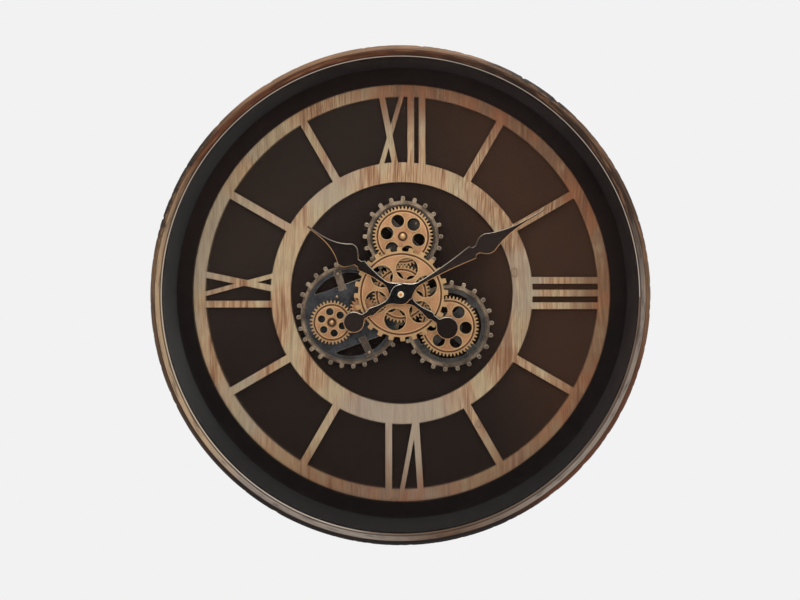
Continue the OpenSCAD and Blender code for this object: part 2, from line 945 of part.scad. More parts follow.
// Quartz movement's housing, behind the board
module movement_box() {
    color([0.12, 0.12, 0.12])
        on_clock()
            difference() {
                up(back_z)
                    rounded_box(movement_w, movement_w, movement_t, 3);
                cell_bay(0, movement_cell_y);
                up(bushing_seat_z)
                    cylinder(h = board_z, r = bushing_r + seat_fit);
                up(shaft_z)
                    cylinder(h = board_z, r = minute_shaft_r + run_fit);
                translate([0, knob_up, back_z - cut])
                    cylinder(h = 5.3 + cut, r = 2 + run_fit);
            }
}

// Heights along the hands' axis
shaft_z = back_z + 7;
bushing_seat_z = back_z + 10;
bushing_top = ring_z + ring_t + 0.3;

module bushing() {
    color([0.78, 0.62, 0.32])
        on_clock()
            up(bushing_seat_z)
                tube(bushing_top - bushing_seat_z, bushing_r, hour_tube_r + run_fit);
}

module bushing_washer() {
    color([0.78, 0.62, 0.32])
        on_clock()
            up(front_z)
                tube(1, bushing_nut_w / 2 + 2.5, bushing_r + seat_fit);
}

module bushing_nut() {
    color([0.78, 0.62, 0.32])
        on_clock()
            up(front_z + 1)
                difference() {
                    cylinder(h = bushing_nut_t, r = bushing_nut_w / sqrt(3), $fn = 6);
                    up(-cut)
                        cylinder(h = bushing_nut_t + 2 * cut, r = bushing_r + seat_fit);
                }
}

// Collar and ring that keep the centre gears in place along the bushing
module bushing_collar() {
    color([0.6, 0.5, 0.4])
        on_clock()
            up(train_z - end_play - 3.6)
                tube(3.6, bushing_r + spacer_wall, bushing_r + seat_fit);
}

module hub_ring() {
    color([0.6, 0.5, 0.4])
        on_clock()
            up(ring_z)
                tube(ring_t, bushing_r + spacer_wall, bushing_r + seat_fit);
}

// Dry cell lying along x, with its button at the right
module dry_cell(x, y) {
    translate([x - cell_len / 2, y, cell_z])
        rotate([0, 90, 0]) {
            cylinder(h = cell_len - 1.2, r = cell_r);
            cylinder(h = cell_len, r = 2.7);
        }
}

module movement_cell() {
    color([0.25, 0.25, 0.27])
        on_clock()
            dry_cell(0, movement_cell_y);
}

module motor_cell() {
    color([0.25, 0.25, 0.27])
        on_clock()
            dry_cell(top_c[0], motor_cell_y);
}

// Spring contact at the left end of each bay: a plate and a stepped coil
module cell_springs() {
    color([0.75, 0.75, 0.75])
        on_clock()
            for (p = [[0, movement_cell_y], [top_c[0], motor_cell_y]])
                translate([p[0] - bay_len / 2, p[1], cell_z])
                    rotate([0, 90, 0]) {
                        translate([-5, -5, 0])
                            cube([10, 10, 0.5]);
                        cylinder(h = 1, r = 4);
                        cylinder(h = (bay_len - cell_len) / 2, r = 2.8);
                    }
}

// Flat contact at the right end of each bay, with a pressed stud
module cell_studs() {
    color([0.75, 0.75, 0.75])
        on_clock()
            for (p = [[0, movement_cell_y], [top_c[0], motor_cell_y]])
                translate([p[0] + bay_len / 2, p[1], cell_z])
                    rotate([0, -90, 0]) {
                        translate([-5, -5, 0])
                            cube([10, 10, 0.5]);
                        cylinder(h = (bay_len - cell_len) / 2, r = 3);
                    }
}

// Battery gear motor that drives the top gear, behind the board
module motor_box() {
    color([0.14, 0.14, 0.15])
        on_clock()
            difference() {
                union() {
                    translate([top_c[0], top_c[1] + motor_y, back_z])
                        rounded_box(motor_w, motor_h, movement_t, 3);
                    translate([top_c[0], top_c[1] + motor_y, board_z - motor_ear_t])
                        rounded_box(motor_w + 4 * motor_ear, 2 * motor_ear, motor_ear_t, 3);
                }
                cell_bay(top_c[0], motor_cell_y);
                at_xy(top_c)
                    up(motor_shaft_z)
                        cylinder(h = board_z, r = top_shaft_r + run_fit);
                motor_screw_places()
                    up(board_z - motor_ear_t - cut)
                        cylinder(h = motor_ear_t + 2 * cut, r = wood_screw_r + seat_fit);
            }
}

motor_shaft_z = back_z + 7;

module motor_screw_places() {
    for (s = [-1, 1])
        translate([top_c[0] + s * (motor_w / 2 + motor_screw_out), top_c[1] + motor_y, 0])
            children();
}

board_screw_in = board_t - 1.2;

// Wood screw driven from behind, its head's seat at height z0
module rear_screw(z0) {
    up(z0 - screw_head_h)
        cylinder(h = screw_head_h, r = wood_screw_head_r);
    up(z0 - 0.01)
        cylinder(h = board_z - z0 + board_screw_in + 0.01, r = wood_screw_r);
}

module motor_screws() {
    color([0.6, 0.6, 0.6])
        on_clock()
            motor_screw_places()
                rear_screw(board_z - motor_ear_t);
}

// Hat-shaped hanger: two feet on the board, two legs and a web with a keyhole
module hanger() {
    color([0.7, 0.7, 0.7])
        on_clock()
            translate([0, hanger_up, 0])
                difference() {
                    union() {
                        translate([-hanger_w / 2, -hanger_h / 2, 0])
                            cube([hanger_w, hanger_h, hanger_t]);
                        for (s = [-1, 1])
                            translate([s * (hanger_w - hanger_t) / 2 - hanger_t / 2, -hanger_h / 2, 0])
                                cube([hanger_t, hanger_h, board_z]);
                        for (s = [-1, 1])
                            translate([s * (hanger_w / 2 + hanger_foot / 2 - hanger_t / 2)
                                - (hanger_foot + hanger_t) / 2, -hanger_h / 2, board_z - hanger_t])
                                cube([hanger_foot + hanger_t, hanger_h, hanger_t]);
                    }
                    up(-cut)
                        cylinder(h = hanger_t + 2 * cut, r = hanger_hole_r);
                    translate([-hanger_slot_w / 2, 0, -cut])
                        cube([hanger_slot_w, hanger_slot_len, hanger_t + 2 * cut]);
                    translate([0, hanger_slot_len, -cut])
                        cylinder(h = hanger_t + 2 * cut, r = hanger_slot_w / 2);
                    translate([0, -hanger_up, 0])
                        hanger_screw_places()
                            up(board_z - hanger_t - cut)
                                cylinder(h = hanger_t + 2 * cut, r = wood_screw_r + seat_fit);
                }
}

module hanger_screw_places() {
    for (s = [-1, 1])
        for (v = [-1, 1])
            translate([s * (hanger_w / 2 + hanger_foot / 2), hanger_up + v * (hanger_h / 2 - 6), 0])
                children();
}

module hanger_screws() {
    color([0.6, 0.6, 0.6])
        on_clock()
            hanger_screw_places()
                rear_screw(board_z - hanger_t);
}

// Places of the brackets round the case, clear of the hanger at the top
bracket_screw_r = drop_r - bracket_leg + 4;
wall_screw_z = board_z - bracket_leg + 4.5;
wall_screw_in = 6;

module bracket_places() {
    for (k = [0:bracket_n - 1])
        rotate([0, 0, 90 + 180 / bracket_n + 360 * k / bracket_n])
            children();
}

// Angle brackets: one leg on the board's back, one on the case's bore
module brackets() {
    flat_r = drop_r - 0.2;
    color([0.7, 0.7, 0.7])
        on_clock()
            bracket_places()
                difference() {
                    union() {
                        translate([flat_r - bracket_leg, -bracket_w / 2, board_z - bracket_t])
                            cube([bracket_leg, bracket_w, bracket_t]);
                        translate([flat_r - bracket_t, -bracket_w / 2, board_z - bracket_leg])
                            cube([bracket_t, bracket_w, bracket_leg]);
                    }
                    translate([bracket_screw_r, 0, board_z - bracket_t - cut])
                        cylinder(h = bracket_t + 2 * cut, r = wood_screw_r + seat_fit);
                    translate([flat_r - bracket_t - cut, 0, wall_screw_z])
                        rotate([0, 90, 0])
                            cylinder(h = bracket_t + 2 * cut, r = wood_screw_r + seat_fit);
                }
}

module bracket_screws() {
    color([0.6, 0.6, 0.6])
        on_clock()
            bracket_places()
                translate([bracket_screw_r, 0, 0])
                    rear_screw(board_z - bracket_t);
}

module wall_screws() {
    seat_r = drop_r - 0.2 - bracket_t;
    color([0.6, 0.6, 0.6])
        on_clock()
            bracket_places()
                translate([seat_r, 0, wall_screw_z])
                    rotate([0, 90, 0]) {
                        up(-screw_head_h)
                            cylinder(h = screw_head_h, r = wood_screw_head_r);
                        up(-0.01)
                            cylinder(h = bore_r - seat_r + wall_screw_in, r = wood_screw_r);
                    }
}

// Hub that joins the two centre gears and runs loosely on the bushing
hub_r = bushing_r + 2.8;

module centre_hub() {
    color([0.7, 0.5, 0.35])
        on_clock()
            difference() {
                union() {
                    up(train_z)
                        cylinder(h = hub_top - train_z, r = hub_r);
                    up(train_top)
                        cylinder(h = train_gap, r = hub_r + 3);
                }
                up(train_z - cut)
                    cylinder(h = hub_top - train_z + 2 * cut, r = bushing_r + run_fit);
            }
}

module fine_gear() {
    color([0.75, 0.55, 0.38])
        on_clock()
            up(train_z)
                difference() {
                    spur_gear(n_centre, centre_phase, hub_r + seat_fit);
                    six_holes(gear_t, fine_hole_pcr, fine_hole_r, 47);
                    face_groove(gear_t, pitch_r(n_centre) - 4.8, groove_w, groove_d);
                }
}

module front_gear() {
    color([0.8, 0.62, 0.42])
        on_clock()
            up(big_z)
                difference() {
                    linear_extrude(height = front_t)
                        polygon(cog_outline(front_n, front_tip_r, front_tooth_h, front_tooth_w, 0.7, 17));
                    up(-cut)
                        cylinder(h = front_t + 2 * cut, r = hub_r + seat_fit);
                    six_holes(front_t, front_hole_pcr, front_hole_r, 17);
                    face_groove(front_t, front_groove_r, 1.4 * groove_w, groove_d);
                }
}

module top_gear() {
    color([0.8, 0.62, 0.42])
        on_clock()
            at_xy(top_c)
                up(train_z)
                    difference() {
                        spur_gear(n_top, top_phase, top_shaft_r + seat_fit);
                        six_holes(gear_t, top_hole_pcr, top_hole_r, 48);
                        face_groove(gear_t, top_groove_r, groove_w, groove_d);
                    }
}

// Shaft from the gear motor, with a collar behind the gear
module top_shaft() {
    color([0.7, 0.7, 0.7])
        on_clock()
            at_xy(top_c) {
                up(motor_shaft_z + 0.3)
                    cylinder(h = train_top + end_play - motor_shaft_z - 0.3, r = top_shaft_r);
                up(plate_z + plate_rim_t)
                    cylinder(h = train_z - plate_z - plate_rim_t, r = top_shaft_r + spacer_wall);
            }
}

module top_dome() {
    color([0.75, 0.6, 0.4])
        on_clock()
            at_xy(top_c) {
                up(train_top + end_play)
                    cylinder(h = washer_t + 0.01, r = dome_r + 1.4);
                up(train_top + end_play + washer_t)
                    dome(dome_r, dome_h);
            }
}

module right_gear() {
    color([0.78, 0.58, 0.4])
        on_clock()
            at_xy(right_c)
                up(train_z)
                    difference() {
                        spur_gear(n_right, right_phase, right_axle_r + run_fit);
                        six_holes(gear_t, right_hole_pcr, right_hole_r, 55);
                        face_groove(gear_t, right_groove_r, groove_w, groove_d);
                    }
}

module idler_gear() {
    color([0.72, 0.5, 0.35])
        on_clock()
            at_xy(idler_c)
                up(train_z)
                    difference() {
                        spur_gear(n_idler, idler_phase, axle_r + run_fit);
                        face_groove(gear_t, pitch_r(n_idler) - 4.4, groove_w, groove_d);
                    }
}

module left_gear() {
    color([0.78, 0.6, 0.42])
        on_clock()
            at_xy(left_c)
                up(train_z)
                    difference() {
                        spur_gear(n_left, left_phase, axle_r + run_fit);
                        six_holes(gear_t, left_hole_pcr, left_hole_r, 41.5);
                        face_groove(gear_t, left_groove_r, groove_w, groove_d);
                    }
}

// Half outline of a hand along +x, as [distance, half width] pairs: a waist, a flare
// with a stepped notch, a leaf and a long point
function blade_side(len, corner, corner_w, leaf_w, e) =
    let (root = hand_hub_r * 2 / 3, foot = 2 * hand_hub_r, wide = hand_hub_r * 11 / 12,
        leaf = corner + leaf_rise, top = leaf + 0.2 * leaf_rise, step = corner + 0.375 * leaf_rise)
    concat(
        [for (k = [0:4]) [root + (foot - root) * k / 4,
            neck_w + (wide - neck_w) * pow(1 - k / 4, 1.7) - e]],
        [for (k = [1:5]) [foot + (corner - foot) * k / 5,
            neck_w + (corner_w - neck_w) * pow(k / 5, 1.9) - e]],
        [[corner + 0.13 * leaf_rise, 0.6 * corner_w - e], [step, 0.6 * corner_w - e]],
        [for (k = [1:6]) [step + (leaf - step) * k / 6,
            0.6 * corner_w + (leaf_w - 0.6 * corner_w) * sin(90 * k / 6) - e]],
        [for (k = [0:10]) [top + (len - top - 2 * e) * k / 10,
            max(leaf_w * pow(1 - k / 10, 3) + tip_w * k / 10 - e, 0.25)]]
    );

function tail_side(at_s, r, e) =
    let (root = hand_hub_r * 2 / 3, foot = hand_hub_r * 5 / 3, wide = 0.75 * hand_hub_r, w = tail_neck_w)
    concat(
        [for (k = [0:3]) [root + (foot - root) * k / 3, w + (wide - w) * pow(1 - k / 3, 1.6) - e]],
        [[0.45 * at_s, 1.16 * w - e], [0.63 * at_s, 2.1 * w - e],
            [0.7 * at_s, 1.35 * w - e], [0.8 * at_s, 1.35 * w - e],
            [at_s - 0.75 * r, 0.62 * r - e], [at_s - 0.5 * r, 0.86 * r - e]]
    );

function mirrored(side) = concat(side, [for (k = [len(side) - 1:-1:0]) [side[k][0], -side[k][1]]]);

module hand_outline(len, corner, corner_w, leaf_w, tail_at, tail_r, e) {
    root = hand_hub_r * 2 / 3;
    circle(r = hand_hub_r - e);
    polygon(concat([[0, root - e]], mirrored(blade_side(len, corner, corner_w, leaf_w, e)), [[0, e - root]]));
    mirror([1, 0])
        polygon(concat([[0, root - e]], mirrored(tail_side(tail_at, tail_r, e)), [[0, e - root]]));
    translate([-tail_at, 0])
        circle(r = tail_r - e);
}

// Hand with a bright lower layer and a dark upper layer set in from its edge
module hand(a, len, corner, corner_w, leaf_w, tail_at, tail_r, bore) {
    rotate([0, 0, 90 - a])
        difference() {
            union() {
                linear_extrude(height = 0.6 * hand_t)
                    hand_outline(len, corner, corner_w, leaf_w, tail_at, tail_r, 0);
                linear_extrude(height = hand_t)
                    hand_outline(len, corner, corner_w, leaf_w, tail_at, tail_r, hand_edge);
            }
            up(-cut)
                cylinder(h = hand_t + 2 * cut, r = bore);
        }
}

module hour_hand() {
    color([0.08, 0.07, 0.07])
        on_clock()
            up(hour_z)
                hand(hour_at, hour_len, hour_corner_at, hour_corner_w, hour_leaf_w, hour_tail_at, hour_tail_r,
                    hour_tube_r + seat_fit);
}

module hour_tube() {
    color([0.78, 0.62, 0.32])
        on_clock()
            up(bushing_seat_z + 0.3)
                tube(hour_z + hand_t + 0.6 - bushing_seat_z - 0.3, hour_tube_r,
                    minute_shaft_r + run_fit);
}

module minute_hand() {
    color([0.08, 0.07, 0.07])
        on_clock()
            up(minute_z)
                hand(minute_at, minute_len, minute_corner_at, minute_corner_w, minute_leaf_w, minute_tail_at, minute_tail_r,
                    minute_shaft_r + seat_fit);
}

module minute_shaft() {
    color([0.8, 0.55, 0.3])
        on_clock() {
            up(shaft_z + 0.3)
                cylinder(h = nut_z + hand_nut_t + 0.3 - shaft_z - 0.3, r = minute_shaft_r);
        }
}

module hand_nut() {
    color([0.9, 0.88, 0.82])
        on_clock()
            up(nut_z)
                difference() {
                    union() {
                        cylinder(h = hand_nut_t - 0.8, r = hand_nut_r);
                        cylinder(h = hand_nut_t, r = hand_nut_r - 0.8);
                    }
                    up(-cut)
                        cylinder(h = hand_nut_t + 2 * cut, r = minute_shaft_r + seat_fit);
                }
}

// Knurled knob at the rear that sets the hands
module set_knob() {
    color([0.1, 0.1, 0.1])
        on_clock()
            translate([0, knob_up, back_z]) {
                up(-2.3)
                    linear_extrude(height = 2)
                        polygon(cog_outline(24, knob_r, 0.9, 1.1, 0.2, 0, 0));
                up(-0.31)
                    cylinder(h = 5.3, r = 2);
            }
}

frame_ring();
glass();
liner();
back_board();
dial();
left_plate();
top_plate();
right_plate();
left_pillars();
top_pillars();
right_pillars();
plate_screws();
left_axle();
idler_axle();
right_axle();
axle_spacers();
right_spacer();
dome_washers();
movement_box();
bushing();
bushing_washer();
bushing_nut();
bushing_collar();
hub_ring();
movement_cell();
motor_box();
motor_cell();
cell_springs();
cell_studs();
motor_screws();
hanger();
hanger_screws();
brackets();
bracket_screws();
wall_screws();
centre_hub();
fine_gear();
front_gear();
top_gear();
top_shaft();
top_dome();
right_gear();
idler_gear();
left_gear();
hour_hand();
hour_tube();
minute_hand();
minute_shaft();
hand_nut();
set_knob();
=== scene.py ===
# %% [markdown]
# # A round gear clock, dressed for rendering
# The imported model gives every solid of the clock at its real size: the case ring, the
# glass, the wooden dial, the toothed plates and the gear train. This lesson loads those
# solids, gives each one the finish of the real thing, and replaces those whose edges
# or surface need more than the solids carry. Everything stays in metres, in the same
# frame as the solids, so nothing has to be fitted by eye.

import json
import math

import bpy
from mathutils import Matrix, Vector


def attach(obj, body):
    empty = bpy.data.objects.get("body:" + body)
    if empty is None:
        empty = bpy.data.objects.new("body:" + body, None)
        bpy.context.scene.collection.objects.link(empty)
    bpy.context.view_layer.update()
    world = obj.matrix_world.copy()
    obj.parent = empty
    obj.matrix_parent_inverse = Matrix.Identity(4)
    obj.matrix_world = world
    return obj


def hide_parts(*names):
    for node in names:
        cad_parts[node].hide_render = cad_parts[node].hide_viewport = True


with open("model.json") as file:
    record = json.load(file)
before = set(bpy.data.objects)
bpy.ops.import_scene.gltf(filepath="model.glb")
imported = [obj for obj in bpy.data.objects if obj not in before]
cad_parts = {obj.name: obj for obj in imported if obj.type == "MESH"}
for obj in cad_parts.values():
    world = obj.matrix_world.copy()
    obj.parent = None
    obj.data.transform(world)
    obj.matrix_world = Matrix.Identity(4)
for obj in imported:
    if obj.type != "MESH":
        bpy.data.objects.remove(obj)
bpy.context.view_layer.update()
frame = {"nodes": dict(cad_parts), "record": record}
solids = frame["nodes"]

# %% [markdown]
# ## Places on the clock
# The clock was drawn in millimetres, with x to the right, y up and z from the wall to
# the viewer, about the axis of the hands. The model's own origin is the hanger's hole,
# 255 mm higher. One small function turns a place on the clock into a place in the scene,
# so the numbers below can be read off the drawing.

# %% Places and centres
HANGER_UP = 255
MM_PER_METRE = 1000


def place(x, y, z):
    """The scene's point for x right, y up and z out from the wall, in millimetres."""
    return Vector((x / MM_PER_METRE, -z / MM_PER_METRE, (y - HANGER_UP) / MM_PER_METRE))


CENTRE = {
    "hands": (0, 0),
    "top": (1.86, 71.03),
    "right": (58.62, -40.14),
    "idler": (-46.92, -19.34),
    "left": (-85.80, -35.36),
    "left_plate": (-63.79, -26.29),
}

# How far from the wall the fronts of things stand, in millimetres
CREST = 80
FRONT_GEAR_FRONT = 53
GEAR_FRONT = 46
PLATE_FRONT = 40.5
LEFT_PLATE_FRONT = 36.5
print("hands' axis at", tuple(round(v, 4) for v in place(0, 0, 0)))

# %% [markdown]
# ## The camera
# The clock is seen from straight in front, about a metre away, a little from above its
# middle. A wall clock photographed so close shows its inner wall by parallax: the eye
# sees more of the wall that is farther from it. A shifted lens keeps the camera level,
# as a product photographer does, and still puts the clock in the middle of the frame.

# %% Camera
FOCAL_PX = 722
IMAGE_WIDTH_PX = 800
SENSOR_WIDTH = 36
EYE_DISTANCE = 859
eye = place(30, 50, CREST + EYE_DISTANCE)
camera_data = bpy.data.cameras.new("front_camera")
camera_data.sensor_width = SENSOR_WIDTH
camera_data.lens = FOCAL_PX / IMAGE_WIDTH_PX * SENSOR_WIDTH
camera_data.shift_x = -0.0319
camera_data.shift_y = -0.0582
camera = bpy.data.objects.new("front_camera", camera_data)
camera.location = eye
camera.rotation_euler = (math.radians(90), 0, 0)
bpy.context.scene.collection.objects.link(camera)
bpy.context.scene.camera = camera
bpy.context.scene.view_settings.view_transform = "Standard"
print("camera at", tuple(round(v, 3) for v in eye))

# %% [markdown]
# ## Light and background
# The photograph's light is even from the front, with one long soft box overhead, close to
# the wall. That box brightens whatever faces up: the top of the case ring, the lower slope
# of its lip and the upper edges of the hands. A weak box in front gives the plated metal
# something to shine in. The world is pale where the camera, a reflection or the glass
# looks at it, and a softer grey where it lights the clock.

# %% Lamps
def soft_box(name, spot, aim, size, watts, colour):
    lamp_data = bpy.data.lights.new(name, "AREA")
    lamp_data.shape = "RECTANGLE"
    lamp_data.size, lamp_data.size_y = size
    lamp_data.energy = watts
    lamp_data.color = colour
    lamp = bpy.data.objects.new(name, lamp_data)
    lamp.location = spot
    lamp.rotation_euler = (aim - spot).to_track_quat("-Z", "Y").to_euler()
    bpy.context.scene.collection.objects.link(lamp)


middle = place(0, 0, 60)
soft_box("top_box", place(120, 1150, 260), middle, (1.3, 0.3), 13, (1.0, 0.985, 0.96))
soft_box("front_box", place(350, 800, 1500), middle, (1.0, 1.0), 8, (1.0, 0.99, 0.97))

# %% World and floor
LIGHT_ON_CLOCK = 0.6
LIGHT_AS_SEEN = 0.887
world = bpy.data.worlds.new("studio")
world.use_nodes = True
bpy.context.scene.world = world
tree = world.node_tree
tree.nodes.clear()
light_path = tree.nodes.new("ShaderNodeLightPath")
seen = light_path.outputs["Is Camera Ray"]
for kind in ("Is Glossy Ray", "Is Transmission Ray"):
    either = tree.nodes.new("ShaderNodeMath")
    either.operation = "MAXIMUM"
    tree.links.new(seen, either.inputs[0])
    tree.links.new(light_path.outputs[kind], either.inputs[1])
    seen = either.outputs[0]
strength = tree.nodes.new("ShaderNodeMapRange")
strength.inputs["To Min"].default_value = LIGHT_ON_CLOCK
strength.inputs["To Max"].default_value = LIGHT_AS_SEEN
tree.links.new(seen, strength.inputs["Value"])
sky = tree.nodes.new("ShaderNodeBackground")
sky.inputs["Color"].default_value = (1, 1, 1, 1)
tree.links.new(strength.outputs["Result"], sky.inputs["Strength"])
out = tree.nodes.new("ShaderNodeOutputWorld")
tree.links.new(sky.outputs[0], out.inputs["Surface"])

bpy.ops.object.select_all(action="DESELECT")
bpy.ops.mesh.primitive_plane_add(size=3, location=place(0, -1200, 0))
floor = bpy.context.object
floor.name = "floor"
print("lamps and floor are set")

# %% [markdown]
# ## Working with shader nodes
# A material is a small graph. Short helpers keep the graphs readable: they add a node and
# plug its inputs, do arithmetic, stretch coordinates, and lay one colour over another. A
# fade turns a measured value into a soft mask between 0 and 1. Colours are written as they
# look on a screen, from 0 to 255, and turned into the linear values for the renderer.

# %% Node helpers
def tone(red, green, blue):
    """A screen colour as the linear colour that a socket takes."""
    flat = [c / 255 for c in (red, green, blue)]
    return tuple(c / 12.92 if c <= 0.04045 else ((c + 0.055) / 1.055) ** 2.4 for c in flat) + (1.0,)


def add(tree, kind, inputs=None, **settings):
    """Adds a node, sets it, and plugs or fills its inputs."""
    made = tree.nodes.new("ShaderNode" + kind)
    for key, value in settings.items():
        setattr(made, key, value)
    for key, value in (inputs or {}).items():
        if isinstance(value, bpy.types.NodeSocket):
            tree.links.new(value, made.inputs[key])
        else:
            made.inputs[key].default_value = value
    return made


def calc(tree, operation, *values):
    return add(tree, "Math", dict(enumerate(values)), operation=operation).outputs[0]


def blend(tree, mask, first, second):
    """second over first where the mask is 1."""
    return add(tree, "Mix", {0: mask, 6: first, 7: second}, data_type="RGBA").outputs[2]


def times(tree, first, second):
    return calc(tree, "MULTIPLY", first, second)


def diagonal(tree, first, second):
    """The length of the diagonal over two sides at a right angle."""
    return calc(tree, "SQRT", calc(tree, "ADD", times(tree, first, first), times(tree, second, second)))


def vectors(tree, operation, first, second):
    return add(tree, "VectorMath", {0: first, 1: second}, operation=operation).outputs[0]


def stretched(tree, vector, x, y, z):
    """Coordinates with each axis multiplied, so a small factor draws a pattern out."""
    return add(tree, "Mapping", {"Vector": vector, "Scale": (x, y, z)}).outputs[0]


def axes(tree, vector):
    """The X, Y and Z of a place."""
    return add(tree, "SeparateXYZ", {0: vector}).outputs


def over(tree, colour, mask, share, top):
    """Lays a colour over the last one, by a share of the mask."""
    return blend(tree, times(tree, mask, share), colour, top)


def fade(tree, value, low, high):
    """0 below low, 1 above high, and soft between them."""
    made = add(tree, "MapRange", {0: value, 1: low, 2: high}, interpolation_type="SMOOTHSTEP")
    return made.outputs[0]


def ramp(tree, value, stops):
    """A colour for each place on a line from 0 to 1, blended between (place, colour) stops."""
    made = add(tree, "ValToRGB", {0: value})
    line = made.color_ramp.elements
    line[0].position, line[0].color = stops[0][0], tone(*stops[0][1])
    line[1].position, line[1].color = stops[-1][0], tone(*stops[-1][1])
    for at, colour in stops[1:-1]:
        line.new(at).color = tone(*colour)
    return made.outputs[0]


def noise(tree, vector, scale, detail=3.0, rough=0.5):
    return add(tree, "TexNoise", {"Vector": vector, "Scale": scale, "Detail": detail,
                                  "Roughness": rough}).outputs["Fac"]


def new_effect(name, inputs, outputs):
    """A shader node group with named inputs and outputs; returns its tree and two ends."""
    group = bpy.data.node_groups.new(name, "ShaderNodeTree")
    for label, kind, value in inputs:
        made = group.interface.new_socket(label, in_out="INPUT", socket_type="NodeSocket" + kind)
        if value is not None:
            made.default_value = value
    for label, kind in outputs:
        group.interface.new_socket(label, in_out="OUTPUT", socket_type="NodeSocket" + kind)
    return group, group.nodes.new("NodeGroupInput").outputs, group.nodes.new("NodeGroupOutput").inputs


def effect(tree, name, inputs=None):
    """Places an effect in a material, fills its inputs and returns its outputs."""
    made = tree.nodes.new("ShaderNodeGroup")
    made.node_tree = bpy.data.node_groups[name]
    for key, value in (inputs or {}).items():
        if isinstance(value, bpy.types.NodeSocket):
            tree.links.new(value, made.inputs[key])
        else:
            made.inputs[key].default_value = value
    return made.outputs


def new_material(name, **constants):
    """A material, its tree and its shader, with plain values set on the shader itself."""
    made = bpy.data.materials.new(name)
    made.use_nodes = True
    shader = made.node_tree.nodes["Principled BSDF"]
    for key, value in constants.items():
        shader.inputs[key.replace("_", " ")].default_value = value
    return made, made.node_tree, shader


def on_piece(tree, centre=(0, 0)):
    """Object coordinates with the given place on the clock moved to the origin."""
    where = add(tree, "TexCoord").outputs["Object"]
    shift = place(centre[0], centre[1], 0)
    return add(tree, "Mapping", {"Vector": where, "Location": -shift}).outputs[0]


def reach_in(tree, where):
    """How far a place is from the axis of its coordinates, in metres."""
    return effect(tree, "ring_line", {"Vector": where})["Distance"]


def bumpy(tree, shader, height, distance, strength):
    made = add(tree, "Bump", {"Height": height, "Strength": strength, "Distance": distance})
    tree.links.new(made.outputs[0], shader.inputs["Normal"])


# %% [markdown]
# ## Effects that several finishes share
# Some effects come back again and again on this clock. Patina is the uneven tarnish of
# metal and lacquer, with a broad mottle and a fine speckle. Facing tells edges and walls
# from flat fronts by the surface's own direction; the finishes use it for a bare metal edge,
# for a painted highlight on edges and for painted shade on walls. A ring line is the dark
# groove turned into a gear's face, and also tells how far a place is from the axis. Spun
# marks are the fine circles that a lathe leaves, and hole rims the rims of a gear's six
# holes, where the gears carry a painted highlight. The wood has two effects of its own: the
# lines of its grain, and knots.

# %% Effect: patina
group, given, put = new_effect(
    "patina", [("Vector", "Vector", None), ("Scale", "Float", 60.0)],
    [("Mottle", "Float"), ("Speckle", "Float")])
broad = noise(group, given["Vector"], given["Scale"], 4.0, 0.6)
fine = noise(group, given["Vector"], times(group, given["Scale"], 11.0), 2.0, 0.6)
group.links.new(fade(group, broad, 0.35, 0.68), put["Mottle"])
group.links.new(fade(group, fine, 0.45, 0.7), put["Speckle"])

# %% Effect: facing
group, given, put = new_effect("facing", [], [("Edge", "Float"), ("Wall", "Float")])
flat = calc(group, "ABSOLUTE", axes(group, add(group, "TexCoord").outputs["Normal"])["Y"])
wall = fade(group, flat, 0.45, 0.15)
group.links.new(wall, put["Wall"])
not_front = calc(group, "SUBTRACT", 1.0, fade(group, flat, 0.9, 0.985))
group.links.new(calc(group, "SUBTRACT", not_front, wall), put["Edge"])

# %% Effect: ring line and spun marks
group, given, put = new_effect(
    "ring_line", [("Vector", "Vector", None), ("Radius", "Float", 0.03), ("Width", "Float", 0.001)],
    [("Line", "Float"), ("Distance", "Float")])
parts = axes(group, given["Vector"])
away = diagonal(group, parts["X"], parts["Z"])
off = calc(group, "ABSOLUTE", calc(group, "SUBTRACT", away, given["Radius"]))
near = calc(group, "DIVIDE", off, given["Width"])
group.links.new(fade(group, near, 0.75, 0.4), put["Line"])
group.links.new(away, put["Distance"])

group, given, put = new_effect("spun", [("Distance", "Float", 0.0), ("Vector", "Vector", None)],
                               [("Marks", "Float")])
lines = add(group, "CombineXYZ", {0: times(group, given["Distance"], 1400.0)}).outputs[0]
wander = add(group, "VectorMath", {0: given["Vector"], 3: 12.0}, operation="SCALE").outputs[0]
group.links.new(noise(group, vectors(group, "ADD", lines, wander), 1.0, 1.0, 0.5), put["Marks"])

# %% Effect: hole rims
# Six holes stand on a circle. Folding the way round into one sixth of a turn brings all
# six to the same place, so one distance gives the rim of each.
group, given, put = new_effect(
    "hole_rims", [("Vector", "Vector", None), ("First", "Float", 0.0), ("Circle", "Float", 0.02),
                  ("Radius", "Float", 0.008)], [("Rim", "Float"), ("Face", "Float")])
parts = axes(group, given["Vector"])
away = diagonal(group, parts["X"], parts["Z"])
turn = calc(group, "DIVIDE", calc(group, "ARCTAN2", parts["Z"], parts["X"]), math.tau)
turn = calc(group, "SUBTRACT", turn, calc(group, "DIVIDE", given["First"], 360.0))
sixth = calc(group, "FRACT", calc(group, "ADD", times(group, turn, 6.0), 6.5))
fold = times(group, calc(group, "SUBTRACT", sixth, 0.5), math.tau / 6)
ahead = calc(group, "SUBTRACT", times(group, away, calc(group, "COSINE", fold)), given["Circle"])
beside = times(group, away, calc(group, "SINE", fold))
gap = calc(group, "SUBTRACT", diagonal(group, ahead, beside), given["Radius"])
group.links.new(fade(group, gap, 0.0018, 0.0006), put["Rim"])
group.links.new(fade(group, gap, 0.0015, 0.0035), put["Face"])

